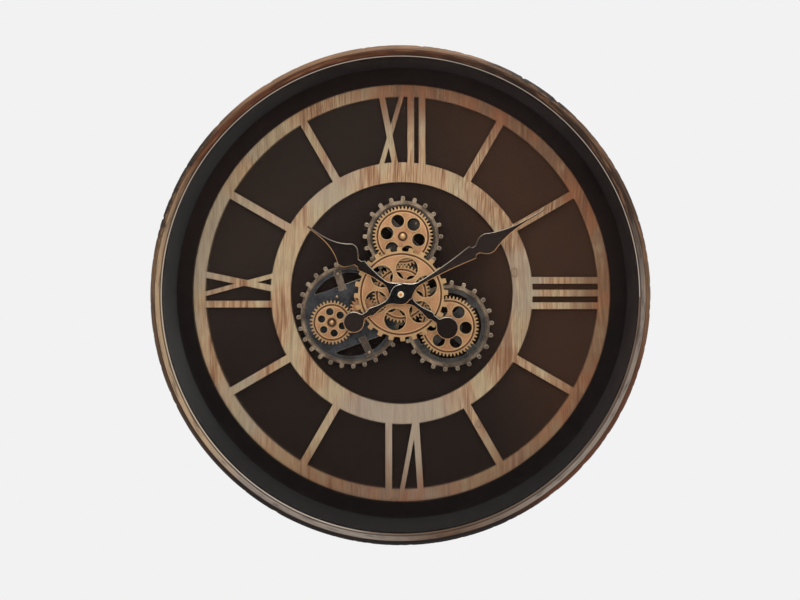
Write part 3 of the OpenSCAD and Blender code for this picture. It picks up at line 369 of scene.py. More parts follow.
# %% Effect: wood grain
# Growth rings cut lengthways show as long bent lines, each darkening slowly to one side and
# ending sharply at the other.
group, given, put = new_effect(
    "grain", [("Vector", "Vector", None), ("Pitch", "Float", 0.009)], [("Line", "Float")])
bend = noise(group, stretched(group, given["Vector"], 1.0, 1.0, 0.3), 14.0, 2.0, 0.5)
side = axes(group, given["Vector"])["X"]
phase = calc(group, "ADD", calc(group, "DIVIDE", side, given["Pitch"]), times(group, bend, 9.0))
saw = calc(group, "FRACT", phase)
group.links.new(times(group, fade(group, saw, 0.35, 0.9), fade(group, saw, 1.0, 0.94)), put["Line"])

# %% Effect: knot
group, given, put = new_effect(
    "knot", [("Vector", "Vector", None), ("Centre", "Vector", None), ("Size", "Vector", None)],
    [("Heart", "Float"), ("Rim", "Float"), ("Halo", "Float")])
offset = vectors(group, "SUBTRACT", given["Vector"], given["Centre"])
scaled = vectors(group, "DIVIDE", offset, given["Size"])
far = add(group, "VectorMath", {0: scaled}, operation="LENGTH").outputs["Value"]
ragged = calc(group, "SUBTRACT", noise(group, scaled, 1.6), 0.5)
far = calc(group, "ADD", far, times(group, ragged, 0.7))
group.links.new(fade(group, far, 1.1, 0.55), put["Heart"])
group.links.new(times(group, fade(group, far, 1.25, 1.05), fade(group, far, 0.65, 0.9)), put["Rim"])
group.links.new(fade(group, far, 2.6, 0.9), put["Halo"])
print("effects:", [g.name for g in bpy.data.node_groups])

# %% [markdown]
# ## Finishes
# Each finish is made from the effects above with its own colours. The pine of the dial
# has one vertical grain over the whole dial, as if it were cut from one panel, with pale
# early wood, brown late wood and a scorched, orange edge.

# %% Finish: pine
# Place and half size of each knot, in millimetres
KNOTS = [((142, 25.8), (4.0, 5.5)), ((96.7, -165.1), (3.4, 4.8)), ((-9.5, -261.0), (4.5, 3.2))]
pine, tree, shader = new_material("pine", Roughness=0.6, Specular_IOR_Level=0.2)
where = on_piece(tree)
wide = stretched(tree, where, 0.6, 1.0, 0.35)
sway = times(tree, calc(tree, "SUBTRACT", noise(tree, wide, 11.0, 2.0), 0.5), 0.03)
bent = vectors(tree, "ADD", where, add(tree, "CombineXYZ", {0: sway}).outputs[0])
along = stretched(tree, bent, 1.0, 1.0, 0.035)
bands = noise(tree, along, 120.0, 3.0, 0.65)
lines = noise(tree, along, 620.0, 2.0, 0.6)
mixed = calc(tree, "ADD", times(tree, bands, 0.58), times(tree, lines, 0.42))
colour = ramp(tree, mixed, [(0.4, (128, 88, 62)), (0.45, (162, 122, 90)), (0.49, (184, 148, 114)),
                            (0.52, (198, 170, 134)), (0.56, (186, 152, 116)), (0.61, (148, 106, 76))])
patch = stretched(tree, bent, 1.0, 1.0, 0.4)
cream = fade(tree, noise(tree, patch, 26.0, 1.0), 0.46, 0.56)
colour = over(tree, colour, cream, 0.6, tone(188, 172, 138))
parts = axes(tree, where)
grain = effect(tree, "grain", {"Vector": where, "Pitch": 0.016})
stronger_right = calc(tree, "ADD", 0.12, times(tree, fade(tree, parts["X"], 0.04, 0.13), 0.38))
colour = over(tree, colour, grain["Line"], stronger_right, tone(138, 98, 72))
thin = fade(tree, noise(tree, along, 1250.0, 1.0), 0.52, 0.6)
colour = over(tree, colour, thin, 0.3, tone(124, 86, 60))
crisp = times(tree, fade(tree, noise(tree, along, 900.0, 1.0), 0.52, 0.62),
              fade(tree, noise(tree, wide, 16.0, 1.0), 0.46, 0.58))
colour = over(tree, colour, crisp, 0.65, tone(112, 74, 50))
cool = fade(tree, noise(tree, where, 10.0, 2.0), 0.48, 0.66)
colour = over(tree, colour, cool, 0.45, tone(164, 152, 136))
low_middle = times(tree, fade(tree, parts["Z"], -0.1, -0.14),
                   fade(tree, calc(tree, "ABSOLUTE", parts["X"]), 0.11, 0.03))
colour = over(tree, colour, low_middle, 0.6, tone(158, 142, 130))
colour = over(tree, colour, fade(tree, parts["X"], 0.2, 0.24), 0.2, tone(112, 76, 54))
reach = reach_in(tree, where)
leftward = calc(tree, "SUBTRACT", times(tree, parts["Z"], 0.26), parts["X"])
spared = times(tree, fade(tree, leftward, 0.04, 0.16), 0.88)
scorch = times(tree, fade(tree, reach, 0.2, 0.25),
               fade(tree, noise(tree, where, 15.0, 3.0, 0.6), 0.1, 0.5))
scorch = times(tree, scorch, calc(tree, "SUBTRACT", 0.88, spared))
stronger_above = calc(tree, "ADD", 0.7, times(tree, fade(tree, parts["Z"], -0.2, 0.0), 0.3))
scorch = times(tree, scorch, stronger_above)
colour = blend(tree, scorch, colour, tone(112, 74, 52))
ember = times(tree, scorch, fade(tree, noise(tree, patch, 40.0, 3.0), 0.48, 0.62))
colour = over(tree, colour, ember, 0.6, tone(152, 88, 56))
burnt = times(tree, scorch, fade(tree, lines, 0.5, 0.62))
colour = over(tree, colour, burnt, 0.7, tone(160, 124, 88))
redder = times(tree, fade(tree, parts["Z"], 0.2, 0.25), fade(tree, bands, 0.45, 0.6))
colour = over(tree, colour, redder, 0.5, tone(142, 84, 52))
face = stretched(tree, where, 1, 0, 1)
for (right, up), (half_width, half_height) in KNOTS:
    knot = effect(tree, "knot", {"Vector": face,
                                 "Centre": (right / MM_PER_METRE, 0, up / MM_PER_METRE),
                                 "Size": (half_width / MM_PER_METRE, 1, half_height / MM_PER_METRE)})
    colour = over(tree, colour, knot["Halo"], 0.3, tone(150, 112, 84))
    colour = over(tree, colour, knot["Rim"], 0.5, tone(96, 80, 68))
    colour = over(tree, colour, knot["Heart"], 0.3, tone(128, 104, 84))
# Painted shade: the sawn walls of the cuts are darker.
colour = over(tree, colour, effect(tree, "facing")["Wall"], 0.7, tone(78, 54, 42))
tree.links.new(colour, shader.inputs["Base Color"])
bumpy(tree, shader, calc(tree, "SUBTRACT", lines, grain["Line"]), 0.0003, 0.3)

# %% [markdown]
# The case ring is wood, stained by hand and made to look old, so its colour changes on the
# way round; part of that change is painted light and shade. The crest is brown above and
# nearly black below, partly stain and partly painted shade, with a redder stretch at the
# lower right. The slope inside it is cream at the left, painted dark at the top as shade and
# grey below as a painted reflection of the light above. It ends in a fine line, pale as a
# painted highlight everywhere but at the lower right. Black scuffs sit on the outer edge in
# a few places. One number, the way round from the right, picks the colour, and the grain
# runs round too.

# %% Finish: case wood
# Distances of the ring's lines from its axis, in metres
LIP_EDGE, LIP_CREASE, SLOPE_TOP, SLOPE_LINE_TOP = 0.2859, 0.2871, 0.2926, 0.2935
NEAR_BLACK, DARK_BROWN, BROWN = (22, 17, 16), (56, 40, 31), (92, 68, 50)
LIGHT_BROWN, RED_BROWN, CREAM, GREY = (124, 94, 70), (100, 58, 37), (174, 148, 118), (138, 126, 116)
case_wood, tree, shader = new_material("case_wood", Roughness=0.6, Specular_IOR_Level=0.12,
                                       Coat_Weight=0.05, Coat_Roughness=0.3)
where = on_piece(tree)
parts = axes(tree, where)
ring = effect(tree, "ring_line", {"Vector": where, "Radius": LIP_EDGE, "Width": 0.0007})
reach = ring["Distance"]
wobble = times(tree, calc(tree, "SUBTRACT", noise(tree, where, 40.0), 0.5), 0.03)
turn = calc(tree, "DIVIDE", calc(tree, "ARCTAN2", parts["Z"], parts["X"]), math.tau)
way = calc(tree, "FRACT", calc(tree, "ADD", calc(tree, "ADD", turn, wobble), 1.0))
# Crest colour by the way round: stain, and painted shade that makes it nearly black below.
crest = ramp(tree, way, [
    (0.0, LIGHT_BROWN), (0.06, DARK_BROWN), (0.13, BROWN), (0.35, LIGHT_BROWN), (0.4, BROWN),
    (0.46, LIGHT_BROWN), (0.53, BROWN), (0.61, DARK_BROWN), (0.65, NEAR_BLACK), (0.82, NEAR_BLACK),
    (0.86, RED_BROWN), (0.95, RED_BROWN), (1.0, LIGHT_BROWN)])
# Slope colour by the way round: painted shade at the top and upper right, and grey below as a painted
# reflection of the light above.
slope = ramp(tree, way, [
    (0.0, GREY), (0.06, DARK_BROWN), (0.18, DARK_BROWN), (0.27, RED_BROWN), (0.4, RED_BROWN),
    (0.47, CREAM), (0.6, CREAM), (0.64, GREY), (0.73, GREY), (0.78, BROWN), (0.86, GREY), (1.0, GREY)])
ahead = fade(tree, parts["Y"], -0.070, -0.074)
inside = times(tree, ahead, fade(tree, reach, SLOPE_TOP, 0.2920))
colour = blend(tree, inside, crest, slope)
outward = add(tree, "VectorMath", {0: stretched(tree, where, 1, 0, 1)},
              operation="NORMALIZE").outputs[0]
round_it = add(tree, "VectorMath", {0: outward, 3: 6.0}, operation="SCALE").outputs[0]
across = calc(tree, "ADD", times(tree, reach, 1.6), parts["Y"])


def fibres_round(pitch, detail):
    """Noise drawn out along the ring, with that many fibres to the metre across it."""
    lift = add(tree, "CombineXYZ", {1: times(tree, across, pitch)}).outputs[0]
    return noise(tree, vectors(tree, "ADD", round_it, lift), 1.5, detail, 0.65)


streaks, fibres = fibres_round(230.0, 4.0), fibres_round(900.0, 3.0)
colour = over(tree, colour, fade(tree, streaks, 0.5, 0.68), 0.55, tone(34, 26, 22))
pale = fade(tree, streaks, 0.5, 0.34)
# Painted light: the pale streaks are stronger towards the top.
painted_light_above = calc(tree, "ADD", 0.08, times(tree, fade(tree, parts["Z"], -0.15, 0.02), 0.34))
colour = over(tree, colour, pale, painted_light_above, tone(168, 120, 84))
colour = over(tree, colour, fade(tree, fibres, 0.45, 0.7), 0.35, tone(46, 34, 28))
# Painted shade: a dark line in the fold at the foot of the slope.
slope_foot_shade = effect(tree, "ring_line", {"Vector": where, "Radius": LIP_CREASE, "Width": 0.0012})["Line"]
colour = over(tree, colour, times(tree, slope_foot_shade, ahead), 0.7, tone(36, 26, 22))
# A dark line near the top of the slope.
slope_top_line = times(tree, fade(tree, reach, 0.2918, 0.2924), fade(tree, reach, SLOPE_LINE_TOP, 0.2927))
slope_top_line = times(tree, ahead, slope_top_line)
colour = over(tree, colour, slope_top_line, 0.6, tone(30, 22, 18))
rubbed = ramp(tree, way, [(at, (grey, grey, grey)) for at, grey in (
    (0.0, 40), (0.12, 40), (0.14, 255), (0.18, 255), (0.2, 60), (0.37, 60), (0.395, 255),
    (0.45, 255), (0.48, 90), (0.62, 90), (0.65, 200), (0.82, 200), (0.85, 60), (1.0, 40))])
ragged = times(tree, calc(tree, "SUBTRACT", noise(tree, where, 90.0, 4.0, 0.7), 0.5), 0.012)
rim = times(tree, fade(tree, calc(tree, "ADD", reach, ragged), 0.2928, 0.2954),
            fade(tree, calc(tree, "ADD", parts["Y"], ragged), -0.064, -0.069))
scuffs = times(tree, rim, rubbed)
colour = over(tree, colour, scuffs, 0.9, tone(36, 33, 33))
# Painted highlight: the fine line at the lip is pale, except at the lower right.
lip = blend(tree, fade(tree, way, 0.74, 0.7), tone(104, 82, 66), tone(186, 174, 160))
colour = over(tree, colour, ring["Line"], ahead, lip)
tree.links.new(colour, shader.inputs["Base Color"])
tree.links.new(calc(tree, "ADD", 0.5, times(tree, scuffs, 0.3)), shader.inputs["Roughness"])
bumpy(tree, shader, calc(tree, "SUBTRACT", fibres, scuffs), 0.0006, 0.35)

# %% [markdown]
# The liner and the board are both nearly black. The liner is a charcoal film, slightly
# mottled, painted lighter at the left and darker at the bottom as light and shade. The
# board is fibreboard stained a very dark brown with a fine speckle; beyond the dial it is
# painted near-black, darker towards the bottom, as shade.

# %% Finish: charcoal liner and dark board
liner_film, tree, shader = new_material("liner_film", Roughness=0.75, Specular_IOR_Level=0.2)
where = on_piece(tree)
patina = effect(tree, "patina", {"Vector": where, "Scale": 30.0})
parts = axes(tree, where)
colour = blend(tree, patina["Mottle"], tone(50, 42, 41), tone(58, 50, 48))
# Painted light: lighter towards the left.
colour = blend(tree, fade(tree, parts["X"], -0.05, -0.25), colour, tone(68, 68, 68))
# Painted shade: darker towards the bottom.
colour = over(tree, colour, fade(tree, parts["Z"], -0.05, -0.22), 0.8, tone(31, 31, 31))
colour = over(tree, colour, patina["Speckle"], 0.35, tone(56, 55, 53))
tree.links.new(colour, shader.inputs["Base Color"])
bumpy(tree, shader, patina["Speckle"], 0.0003, 0.3)

stained_board, tree, shader = new_material("stained_board", Roughness=0.85, Specular_IOR_Level=0.12)
where = on_piece(tree)
patina = effect(tree, "patina", {"Vector": where, "Scale": 45.0})
parts = axes(tree, where)
reach = reach_in(tree, where)
front = fade(tree, parts["Y"], -0.022, -0.024)
rightward = calc(tree, "ADD", parts["X"], times(tree, parts["Z"], 0.36))
leftward = calc(tree, "SUBTRACT", parts["Z"], parts["X"])
colour = over(tree, tone(35, 26, 22), fade(tree, leftward, 0.1, 0.28), front, tone(48, 38, 32))
colour = over(tree, colour, fade(tree, rightward, 0.03, 0.2), front, tone(64, 43, 31))
# Painted shade: beyond the dial the board is near-black, darker towards the bottom.
shade = blend(tree, fade(tree, parts["Z"], -0.1, 0.1), tone(22, 17, 17), tone(36, 26, 24))
colour = blend(tree, fade(tree, reach, 0.258, 0.266), colour, shade)
colour = over(tree, colour, patina["Mottle"], 0.2, tone(44, 34, 30))
colour = over(tree, colour, patina["Speckle"], 0.12, tone(60, 48, 42))
tree.links.new(colour, shader.inputs["Base Color"])
bumpy(tree, shader, patina["Speckle"], 0.0002, 0.25)

# %% [markdown]
# The gears are plated in antique gold and copper: a satin metal, tarnished a little in
# spots, with faint spun circles and a dark turned groove. Edges, hole rims and a ring beside
# the groove carry a painted highlight; walls and the lower part carry painted shade.
# One function makes the finish for each gear, because each has its own centre.

# %% Finish: plated gears
# A radius that no piece of the gear train reaches, for a groove or holes that aren't there
OFF_THE_PIECE = 0.5


def gear_plating(name, centre, groove, bright, deep, holes):
    """Plating for one gear; holes are the first one's direction, their circle and radius."""
    made, tree, shader = new_material(name, Metallic=0.55, Roughness=0.45, Specular_IOR_Level=0.3)
    where = on_piece(tree, centre)
    patina = effect(tree, "patina", {"Vector": where, "Scale": 60.0})
    ring = effect(tree, "ring_line", {"Vector": where, "Radius": groove, "Width": 0.0019})
    glint = effect(tree, "ring_line", {"Vector": where, "Radius": groove - 0.0016,
                                       "Width": 0.0012})["Line"]
    marks = effect(tree, "spun", {"Distance": ring["Distance"], "Vector": where})["Marks"]
    side = effect(tree, "facing")
    colour = over(tree, bright, patina["Mottle"], 0.6, deep)
    colour = over(tree, colour, patina["Speckle"], 0.45, deep)
    height = axes(tree, where)["Z"]
    # Painted shade: darker towards the bottom of the gear.
    colour = over(tree, colour, fade(tree, height, 0.02, -0.05), 0.55, deep)
    first, circle, radius = holes
    rims = effect(tree, "hole_rims", {"Vector": where, "First": first, "Circle": circle,
                                      "Radius": radius})
    toothed = fade(tree, ring["Distance"], groove + 0.0008, groove + 0.0016)
    plain = times(tree, rims["Face"], calc(tree, "SUBTRACT", 1.0, toothed))
    colour = over(tree, colour, plain, 0.35, tone(188, 128, 90))
    colour = over(tree, colour, toothed, 0.35, tone(200, 168, 118))
    # Painted highlight on the rims of the holes.
    colour = over(tree, colour, rims["Rim"], 0.45, tone(206, 172, 122))
    # Painted highlight: a light ring just inside the groove.
    colour = over(tree, colour, glint, 0.5, tone(214, 172, 126))
    seat = effect(tree, "ring_line", {"Vector": where, "Radius": 0.0048, "Width": 0.0022})["Line"]
    colour = over(tree, colour, seat, 0.8, tone(70, 44, 30))
    # Painted shade on the walls.
    colour = over(tree, colour, side["Wall"], 0.8, tone(96, 58, 36))
    # Painted highlight on the bevelled edges.
    colour = over(tree, colour, side["Edge"], 0.5, tone(222, 182, 134))
    colour = over(tree, colour, ring["Line"], 0.9, tone(72, 40, 24))
    tree.links.new(colour, shader.inputs["Base Color"])
    rough = calc(tree, "ADD", 0.4, times(tree, patina["Speckle"], 0.2))
    tree.links.new(rough, shader.inputs["Roughness"])
    uneven = calc(tree, "ADD", marks, patina["Speckle"])
    bumpy(tree, shader, calc(tree, "SUBTRACT", uneven, ring["Line"]), 0.0003, 0.3)
    return made


GOLD, GOLD_DEEP = tone(186, 146, 106), tone(134, 92, 60)
COPPER, COPPER_DEEP = tone(184, 140, 98), tone(132, 90, 60)
# Node, finish, centre, groove, two colours, and the first hole, circle and radius of the holes
TRAIN = (
    ("front_gear", "gold_front", "hands", 0.0492, GOLD, GOLD_DEEP, (17, 0.032, 0.0134)),
    ("fine_gear", "copper_fine", "hands", 0.030, COPPER, COPPER_DEEP, (47, 0.02, 0.008)),
    ("top_gear", "gold_top", "top", 0.0314, GOLD, GOLD_DEEP, (48, 0.02, 0.0079)),
    ("right_gear", "gold_right", "right", 0.0314, GOLD, GOLD_DEEP, (55, 0.0212, 0.0077)),
    ("left_gear", "gold_left", "left", 0.0216, GOLD, GOLD_DEEP, (41.5, 0.0135, 0.0046)),
    ("idler_gear", "copper_idler", "idler", OFF_THE_PIECE, COPPER, COPPER_DEEP,
     (0, OFF_THE_PIECE, 0.001)),
)
plating = {node: gear_plating(name, CENTRE[spot], groove, bright, deep, holes)
           for node, name, spot, groove, bright, deep, holes in TRAIN}

# %% [markdown]
# The toothed plates are antiqued: a brown-grey silver on the raised rim and teeth and a dark
# grey in the thinner web behind, bluest on the left plate. The height of the surface tells
# which of the two it is. The edges carry a painted highlight, and the walls and the inner
# edge of the rim carry painted shade.

# %% Finish: antique plates
def antique_plating(name, centre, web_height, web_colour, rim_reach):
    """Antiquing for one plate, with the web's height and the inner radius of its rim."""
    made, tree, shader = new_material(name, Metallic=0.5, Roughness=0.5, Specular_IOR_Level=0.3)
    where = on_piece(tree, centre)
    patina = effect(tree, "patina", {"Vector": where, "Scale": 70.0})
    side = effect(tree, "facing")
    parts = axes(tree, where)
    low = fade(tree, parts["Y"], -(web_height + 0.35) / MM_PER_METRE,
               -(web_height + 0.15) / MM_PER_METRE)
    rim = blend(tree, patina["Mottle"], tone(156, 134, 110), tone(80, 64, 52))
    rim = over(tree, rim, patina["Speckle"], 0.5, tone(66, 54, 46))
    web = blend(tree, patina["Mottle"], web_colour, tone(40, 39, 39))
    web = over(tree, web, patina["Speckle"], 0.3, tone(84, 78, 74))
    ring = effect(tree, "ring_line", {"Vector": where, "Radius": rim_reach, "Width": 0.0016})
    spokes = fade(tree, ring["Distance"], rim_reach + 0.0004, rim_reach - 0.0004)
    rim = over(tree, rim, spokes, 0.6, tone(86, 74, 66))
    low_right = fade(tree, calc(tree, "SUBTRACT", parts["X"], times(tree, parts["Z"], 0.7)), 0.01, 0.05)
    rim = over(tree, rim, low_right, 0.5, tone(62, 52, 46))
    # Painted shade: a dark line along the inner edge of the rim.
    rim = over(tree, rim, ring["Line"], 0.6, tone(40, 34, 32))
    colour = blend(tree, low, rim, web)
    # Painted shade on the walls.
    colour = over(tree, colour, side["Wall"], 0.7, tone(48, 38, 32))
    # Painted highlight on the edges.
    colour = over(tree, colour, side["Edge"], 0.8, tone(206, 188, 162))
    tree.links.new(colour, shader.inputs["Base Color"])
    tree.links.new(calc(tree, "ADD", 0.4, times(tree, patina["Mottle"], 0.2)),
                   shader.inputs["Roughness"])
    bumpy(tree, shader, calc(tree, "ADD", patina["Speckle"], patina["Mottle"]), 0.0004, 0.4)
    return made


for node, name, spot, web_height, web_colour, rim_reach in (
        ("left_plate", "antique_left", "left_plate", 35.4, tone(60, 61, 65), 0.0576),
        ("top_plate", "antique_top", "top", 39.4, tone(72, 64, 58), 0.0399),
        ("right_plate", "antique_right", "right", 39.4, tone(68, 64, 60), 0.0465)):
    plating[node] = antique_plating(name, CENTRE[spot], web_height, web_colour, rim_reach)

# %% [markdown]
# The hands are black lacquered steel whose bevelled edge is left bare. The lacquer keeps
# off the bevel, so the mask that tells the edge from the front also makes it metal. The bare
# edge is painted silver where it looks up and coppery where it looks down, a painted
# reflection of the light above and of the warm wood below.

# %% Finish: hands
def lacquered(name, leaf):
    """Black lacquer, neutral at the hub and browner on the leaf, with a bare bevel."""
    made, tree, shader = new_material(name, Roughness=0.6, Specular_IOR_Level=0.05)
    where = on_piece(tree)
    patina = effect(tree, "patina", {"Vector": where, "Scale": 40.0})
    side = effect(tree, "facing")
    reach = reach_in(tree, where)
    colour = blend(tree, fade(tree, reach, 0.014, 0.06), tone(20, 20, 20), leaf)
    colour = over(tree, colour, patina["Mottle"], 0.3, tone(34, 27, 24))
    # Painted reflection: silver where the bare edge faces up, copper where it faces down.
    upward = axes(tree, add(tree, "TexCoord").outputs["Normal"])["Z"]
    silver = blend(tree, fade(tree, reach, 0.03, 0.12), tone(182, 174, 162), tone(116, 106, 96))
    bare = blend(tree, fade(tree, upward, -0.25, 0.3), tone(214, 162, 112), silver)
    colour = blend(tree, side["Edge"], colour, bare)
    tree.links.new(colour, shader.inputs["Base Color"])
    tree.links.new(times(tree, side["Edge"], 0.6), shader.inputs["Metallic"])
    rough = calc(tree, "SUBTRACT", 0.6, times(tree, side["Edge"], 0.25))
    tree.links.new(rough, shader.inputs["Roughness"])
    return made


hour_black = lacquered("hour_black", tone(30, 23, 20))
minute_black = lacquered("minute_black", tone(44, 35, 31))

# %% Finish: plain metals, plastics and glass
def plain_metal(name, bright, deep, rough, scale=70.0, foot=None):
    """A satin metal with tarnish in spots and a fine speckle, and a dark foot round a centre."""
    made, tree, shader = new_material(name, Metallic=1.0, Roughness=rough)
    patina = effect(tree, "patina", {"Vector": on_piece(tree), "Scale": scale})
    side = effect(tree, "facing")
    colour = over(tree, bright, patina["Mottle"], 0.6, deep)
    colour = over(tree, colour, patina["Speckle"], 0.3, deep)
    colour = over(tree, colour, side["Edge"], 0.35, bright)
    if foot:
        reach = reach_in(tree, on_piece(tree, foot))
        colour = blend(tree, fade(tree, reach, 0.0036, 0.0042), colour, tone(70, 48, 36))
    tree.links.new(colour, shader.inputs["Base Color"])
    tree.links.new(calc(tree, "ADD", rough, times(tree, patina["Speckle"], 0.15)),
                   shader.inputs["Roughness"])
    bumpy(tree, shader, patina["Speckle"], 0.0002, 0.2)
    return made


brass = plain_metal("brass", tone(206, 172, 104), tone(168, 128, 70), 0.3)
dome_gold = plain_metal("dome_gold", tone(216, 178, 130), tone(160, 112, 74), 0.32)
top_dome_gold = plain_metal("top_dome_gold", tone(206, 170, 124), tone(170, 128, 88), 0.5,
                            foot=CENTRE["top"])
dark_bronze = plain_metal("dark_bronze", tone(84, 62, 48), tone(48, 36, 30), 0.45)
antique_screw = plain_metal("antique_screw", tone(170, 150, 130), tone(96, 80, 68), 0.4)
zinc = plain_metal("zinc", tone(190, 190, 192), tone(150, 150, 154), 0.32, 90.0)
orange_brass = plain_metal("orange_brass", tone(214, 138, 62), tone(176, 104, 44), 0.3)


def moulded(name, base, spark, rough=0.55, size=160.0, bump=0.0004):
    """Moulded plastic or lacquer: an even colour with a fine, shallow grain."""
    made, tree, shader = new_material(name, Roughness=rough, Specular_IOR_Level=0.35)
    patina = effect(tree, "patina", {"Vector": on_piece(tree), "Scale": size})
    colour = over(tree, base, patina["Mottle"], 0.4, spark)
    colour = over(tree, colour, patina["Speckle"], 0.3, spark)
    tree.links.new(colour, shader.inputs["Base Color"])
    bumpy(tree, shader, patina["Speckle"], bump, 0.25)
    return made


black_plastic = moulded("black_plastic", tone(34, 34, 36), tone(52, 52, 54))
nut_enamel = moulded("nut_enamel", tone(232, 214, 184), tone(214, 184, 140), 0.25, 260.0, 0.0001)
cell_jacket = moulded("cell_jacket", tone(70, 74, 80), tone(88, 92, 98), 0.3, 50.0, 0.0001)

glass, tree, shader = new_material("clear_glass", Roughness=0.0, IOR=1.12, Alpha=0.12,
                                   Transmission_Weight=1.0, Specular_IOR_Level=0.2)
uneven = fade(tree, noise(tree, on_piece(tree), 6.0), 0.4, 0.6)
tint = blend(tree, uneven, tone(250, 253, 252), tone(246, 251, 250))
tree.links.new(tint, shader.inputs["Base Color"])
print("finishes:", len(bpy.data.materials))

# %% [markdown]
# ## Working with pieces
# A solid from the drawing has perfectly sharp edges, which catch no light. A working copy
# gets its loose triangles merged, its flat faces joined again, and then a narrow bevel,
# as a casting or a sawn edge has. The copy rides on the same body and stands for the
# solid. Round things are lathed: a profile is drawn with single points and spun about
# the axis.

# %% Piece helpers
# Points closer than this are one point, and faces within this angle are one face
SAME_POINT = 2e-6
SAME_FACE = math.radians(0.4)
# Widths of the bevels for each way of making a piece, in metres
SAWN, CAST, STAMPED, MOULDED, BENT = 0.0004, 0.0004, 0.00025, 0.0003, 0.00025
BODIES = frame["record"]["behaviour"]["bodies"]
BODY_OF = {node: body for body, nodes in BODIES.items() for node in nodes}


def around(centre, radius, degrees):
    """A place on the clock, that far from a centre and that way from it."""
    turn = math.radians(degrees)
    return (centre[0] + radius * math.cos(turn), centre[1] + radius * math.sin(turn))


def only(piece):
    """Selects one piece and nothing else."""
    bpy.ops.object.select_all(action="DESELECT")
    piece.select_set(True)
    bpy.context.view_layer.objects.active = piece


def smooth(piece, degrees):
    only(piece)
    bpy.ops.object.shade_smooth_by_angle(angle=math.radians(degrees))


def apply(piece, kind, **settings):
    """Adds one modifier and applies it."""
    only(piece)
    modifier = piece.modifiers.new(kind.lower(), kind)
    for key, value in settings.items():
        setattr(modifier, key, value)
    bpy.ops.object.modifier_apply(modifier=modifier.name)


def stand_for(piece, node, material):
    """The piece takes a solid's place, body, slot and finish."""
    piece.data.materials.clear()
    piece.data.materials.append(material)
    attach(piece, BODY_OF[node])
    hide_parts(node)
    print(piece.name, "for", node, "faces", len(piece.data.polygons))


def merged_copy(node, name):
    """A copy of a solid with its loose triangles merged; it's left in edit mode."""
    piece = bpy.data.objects.new(name, solids[node].data.copy())
    bpy.context.scene.collection.objects.link(piece)
    only(piece)
    bpy.ops.object.mode_set(mode="EDIT")
    bpy.ops.mesh.select_all(action="SELECT")
    bpy.ops.mesh.customdata_custom_splitnormals_clear()
    bpy.ops.mesh.remove_doubles(threshold=SAME_POINT)
    return piece


def join_faces(piece, degrees):
    """Joins flat faces again, leaves edit mode and smooths edges under that angle."""
    bpy.ops.mesh.dissolve_limited(angle_limit=SAME_FACE)
    bpy.ops.object.mode_set(mode="OBJECT")
    smooth(piece, degrees)


def eased_copy(node, name, width):
    """A merged copy of a solid with a bevel of that width, in metres, on its sharp edges."""
    piece = merged_copy(node, name)
    join_faces(piece, 25)
    apply(piece, "BEVEL", width=width, segments=2, limit_method="ANGLE",
          angle_limit=math.radians(35), use_clamp_overlap=False, harden_normals=True)
    return piece


def lathe(name, profile, centre, steps):
    """Spins a profile of (radius, height) points, in millimetres, about a line to the viewer."""
    bpy.ops.object.select_all(action="DESELECT")
    bpy.ops.mesh.primitive_plane_add(size=0.001, location=(0, 0, 0))
    piece = bpy.context.object
    piece.name = name
    spots = [place(centre[0] + r, centre[1], z) for r, z in profile]
    bpy.ops.object.mode_set(mode="EDIT")
    bpy.ops.mesh.merge(type="CENTER")
    bpy.ops.transform.translate(value=spots[0])
    for before, after in zip(spots, spots[1:]):
        bpy.ops.mesh.extrude_region_move(TRANSFORM_OT_translate={"value": after - before})
    bpy.ops.mesh.select_all(action="SELECT")
    bpy.ops.mesh.spin(steps=steps, angle=math.tau, center=place(*centre, 0), axis=(0, 1, 0))
    bpy.ops.mesh.select_all(action="SELECT")
    bpy.ops.mesh.remove_doubles(threshold=SAME_POINT)
    bpy.ops.mesh.normals_make_consistent(inside=False)
    bpy.ops.object.mode_set(mode="OBJECT")
    return piece


# %% [markdown]
# ## The case ring
# The ring is turned from one piece of wood: a rounded outer edge, a crest, a slope down
# to a thin lip that holds the glass, and a plain wall behind. It is lathed again here
# with more points than the solid has, because its edge is worn. A displacement that acts
# only near the outer edge takes small nicks out of it.

# %% Case ring
# Outer radius, bore and rounding of the ring, in millimetres
RING_R, BORE_R, ROUND_R = 300, 289, 8.5
# Only what lies beyond this radius and this far in front of the wall is worn, in metres
WORN_FROM_R, WORN_FROM_Y = 0.2965, -0.064
# The ways round, in degrees from the right, where the edge is worn most
MOST_WORN = ((45, 68), (134, 168))

arc = [around((RING_R - ROUND_R, CREST - ROUND_R), ROUND_R, way) for way in range(0, 81, 10)]
outer_wall = [(RING_R, z) for z in (2, 30, 55, 66)]
inner_slope = [(292.2, 79.85), (291.4, 79.7), (290.4, 79.2), (289.2, 78.4), (288.2, 77.7),
               (287.5, 77.2), (287.1, 77.0)]
lip_edge = [(286.6, 77.0), (286.2, 76.4), (285.7, 76.3), (285.4, 75.95), (285.4, 75)]
rear = [(BORE_R, 75), (BORE_R, 40), (BORE_R, 0), (298, 0), (RING_R, 2)]
case_ring = lathe("case_ring", outer_wall + arc + inner_slope + lip_edge + rear, CENTRE["hands"], 720)
nicked = case_ring.vertex_groups.new(name="worn_edge")
for v in case_ring.data.vertices:
    height = v.co.z + HANGER_UP / MM_PER_METRE
    if math.hypot(v.co.x, height) > WORN_FROM_R and v.co.y < WORN_FROM_Y:
        degrees = math.degrees(math.atan2(height, v.co.x)) % 360
        most = any(first < degrees < last for first, last in MOST_WORN)
        nicked.add([v.index], 1.0 if most else 0.45, "REPLACE")
chips = bpy.data.textures.new("chips", "CLOUDS")
chips.noise_scale = 0.007
chips.noise_depth = 2
chips.use_color_ramp = True
for stop, at, level in zip(chips.color_ramp.elements, (0.56, 0.7), (0, 1)):
    stop.position = at
    stop.color = (level, level, level, 1)
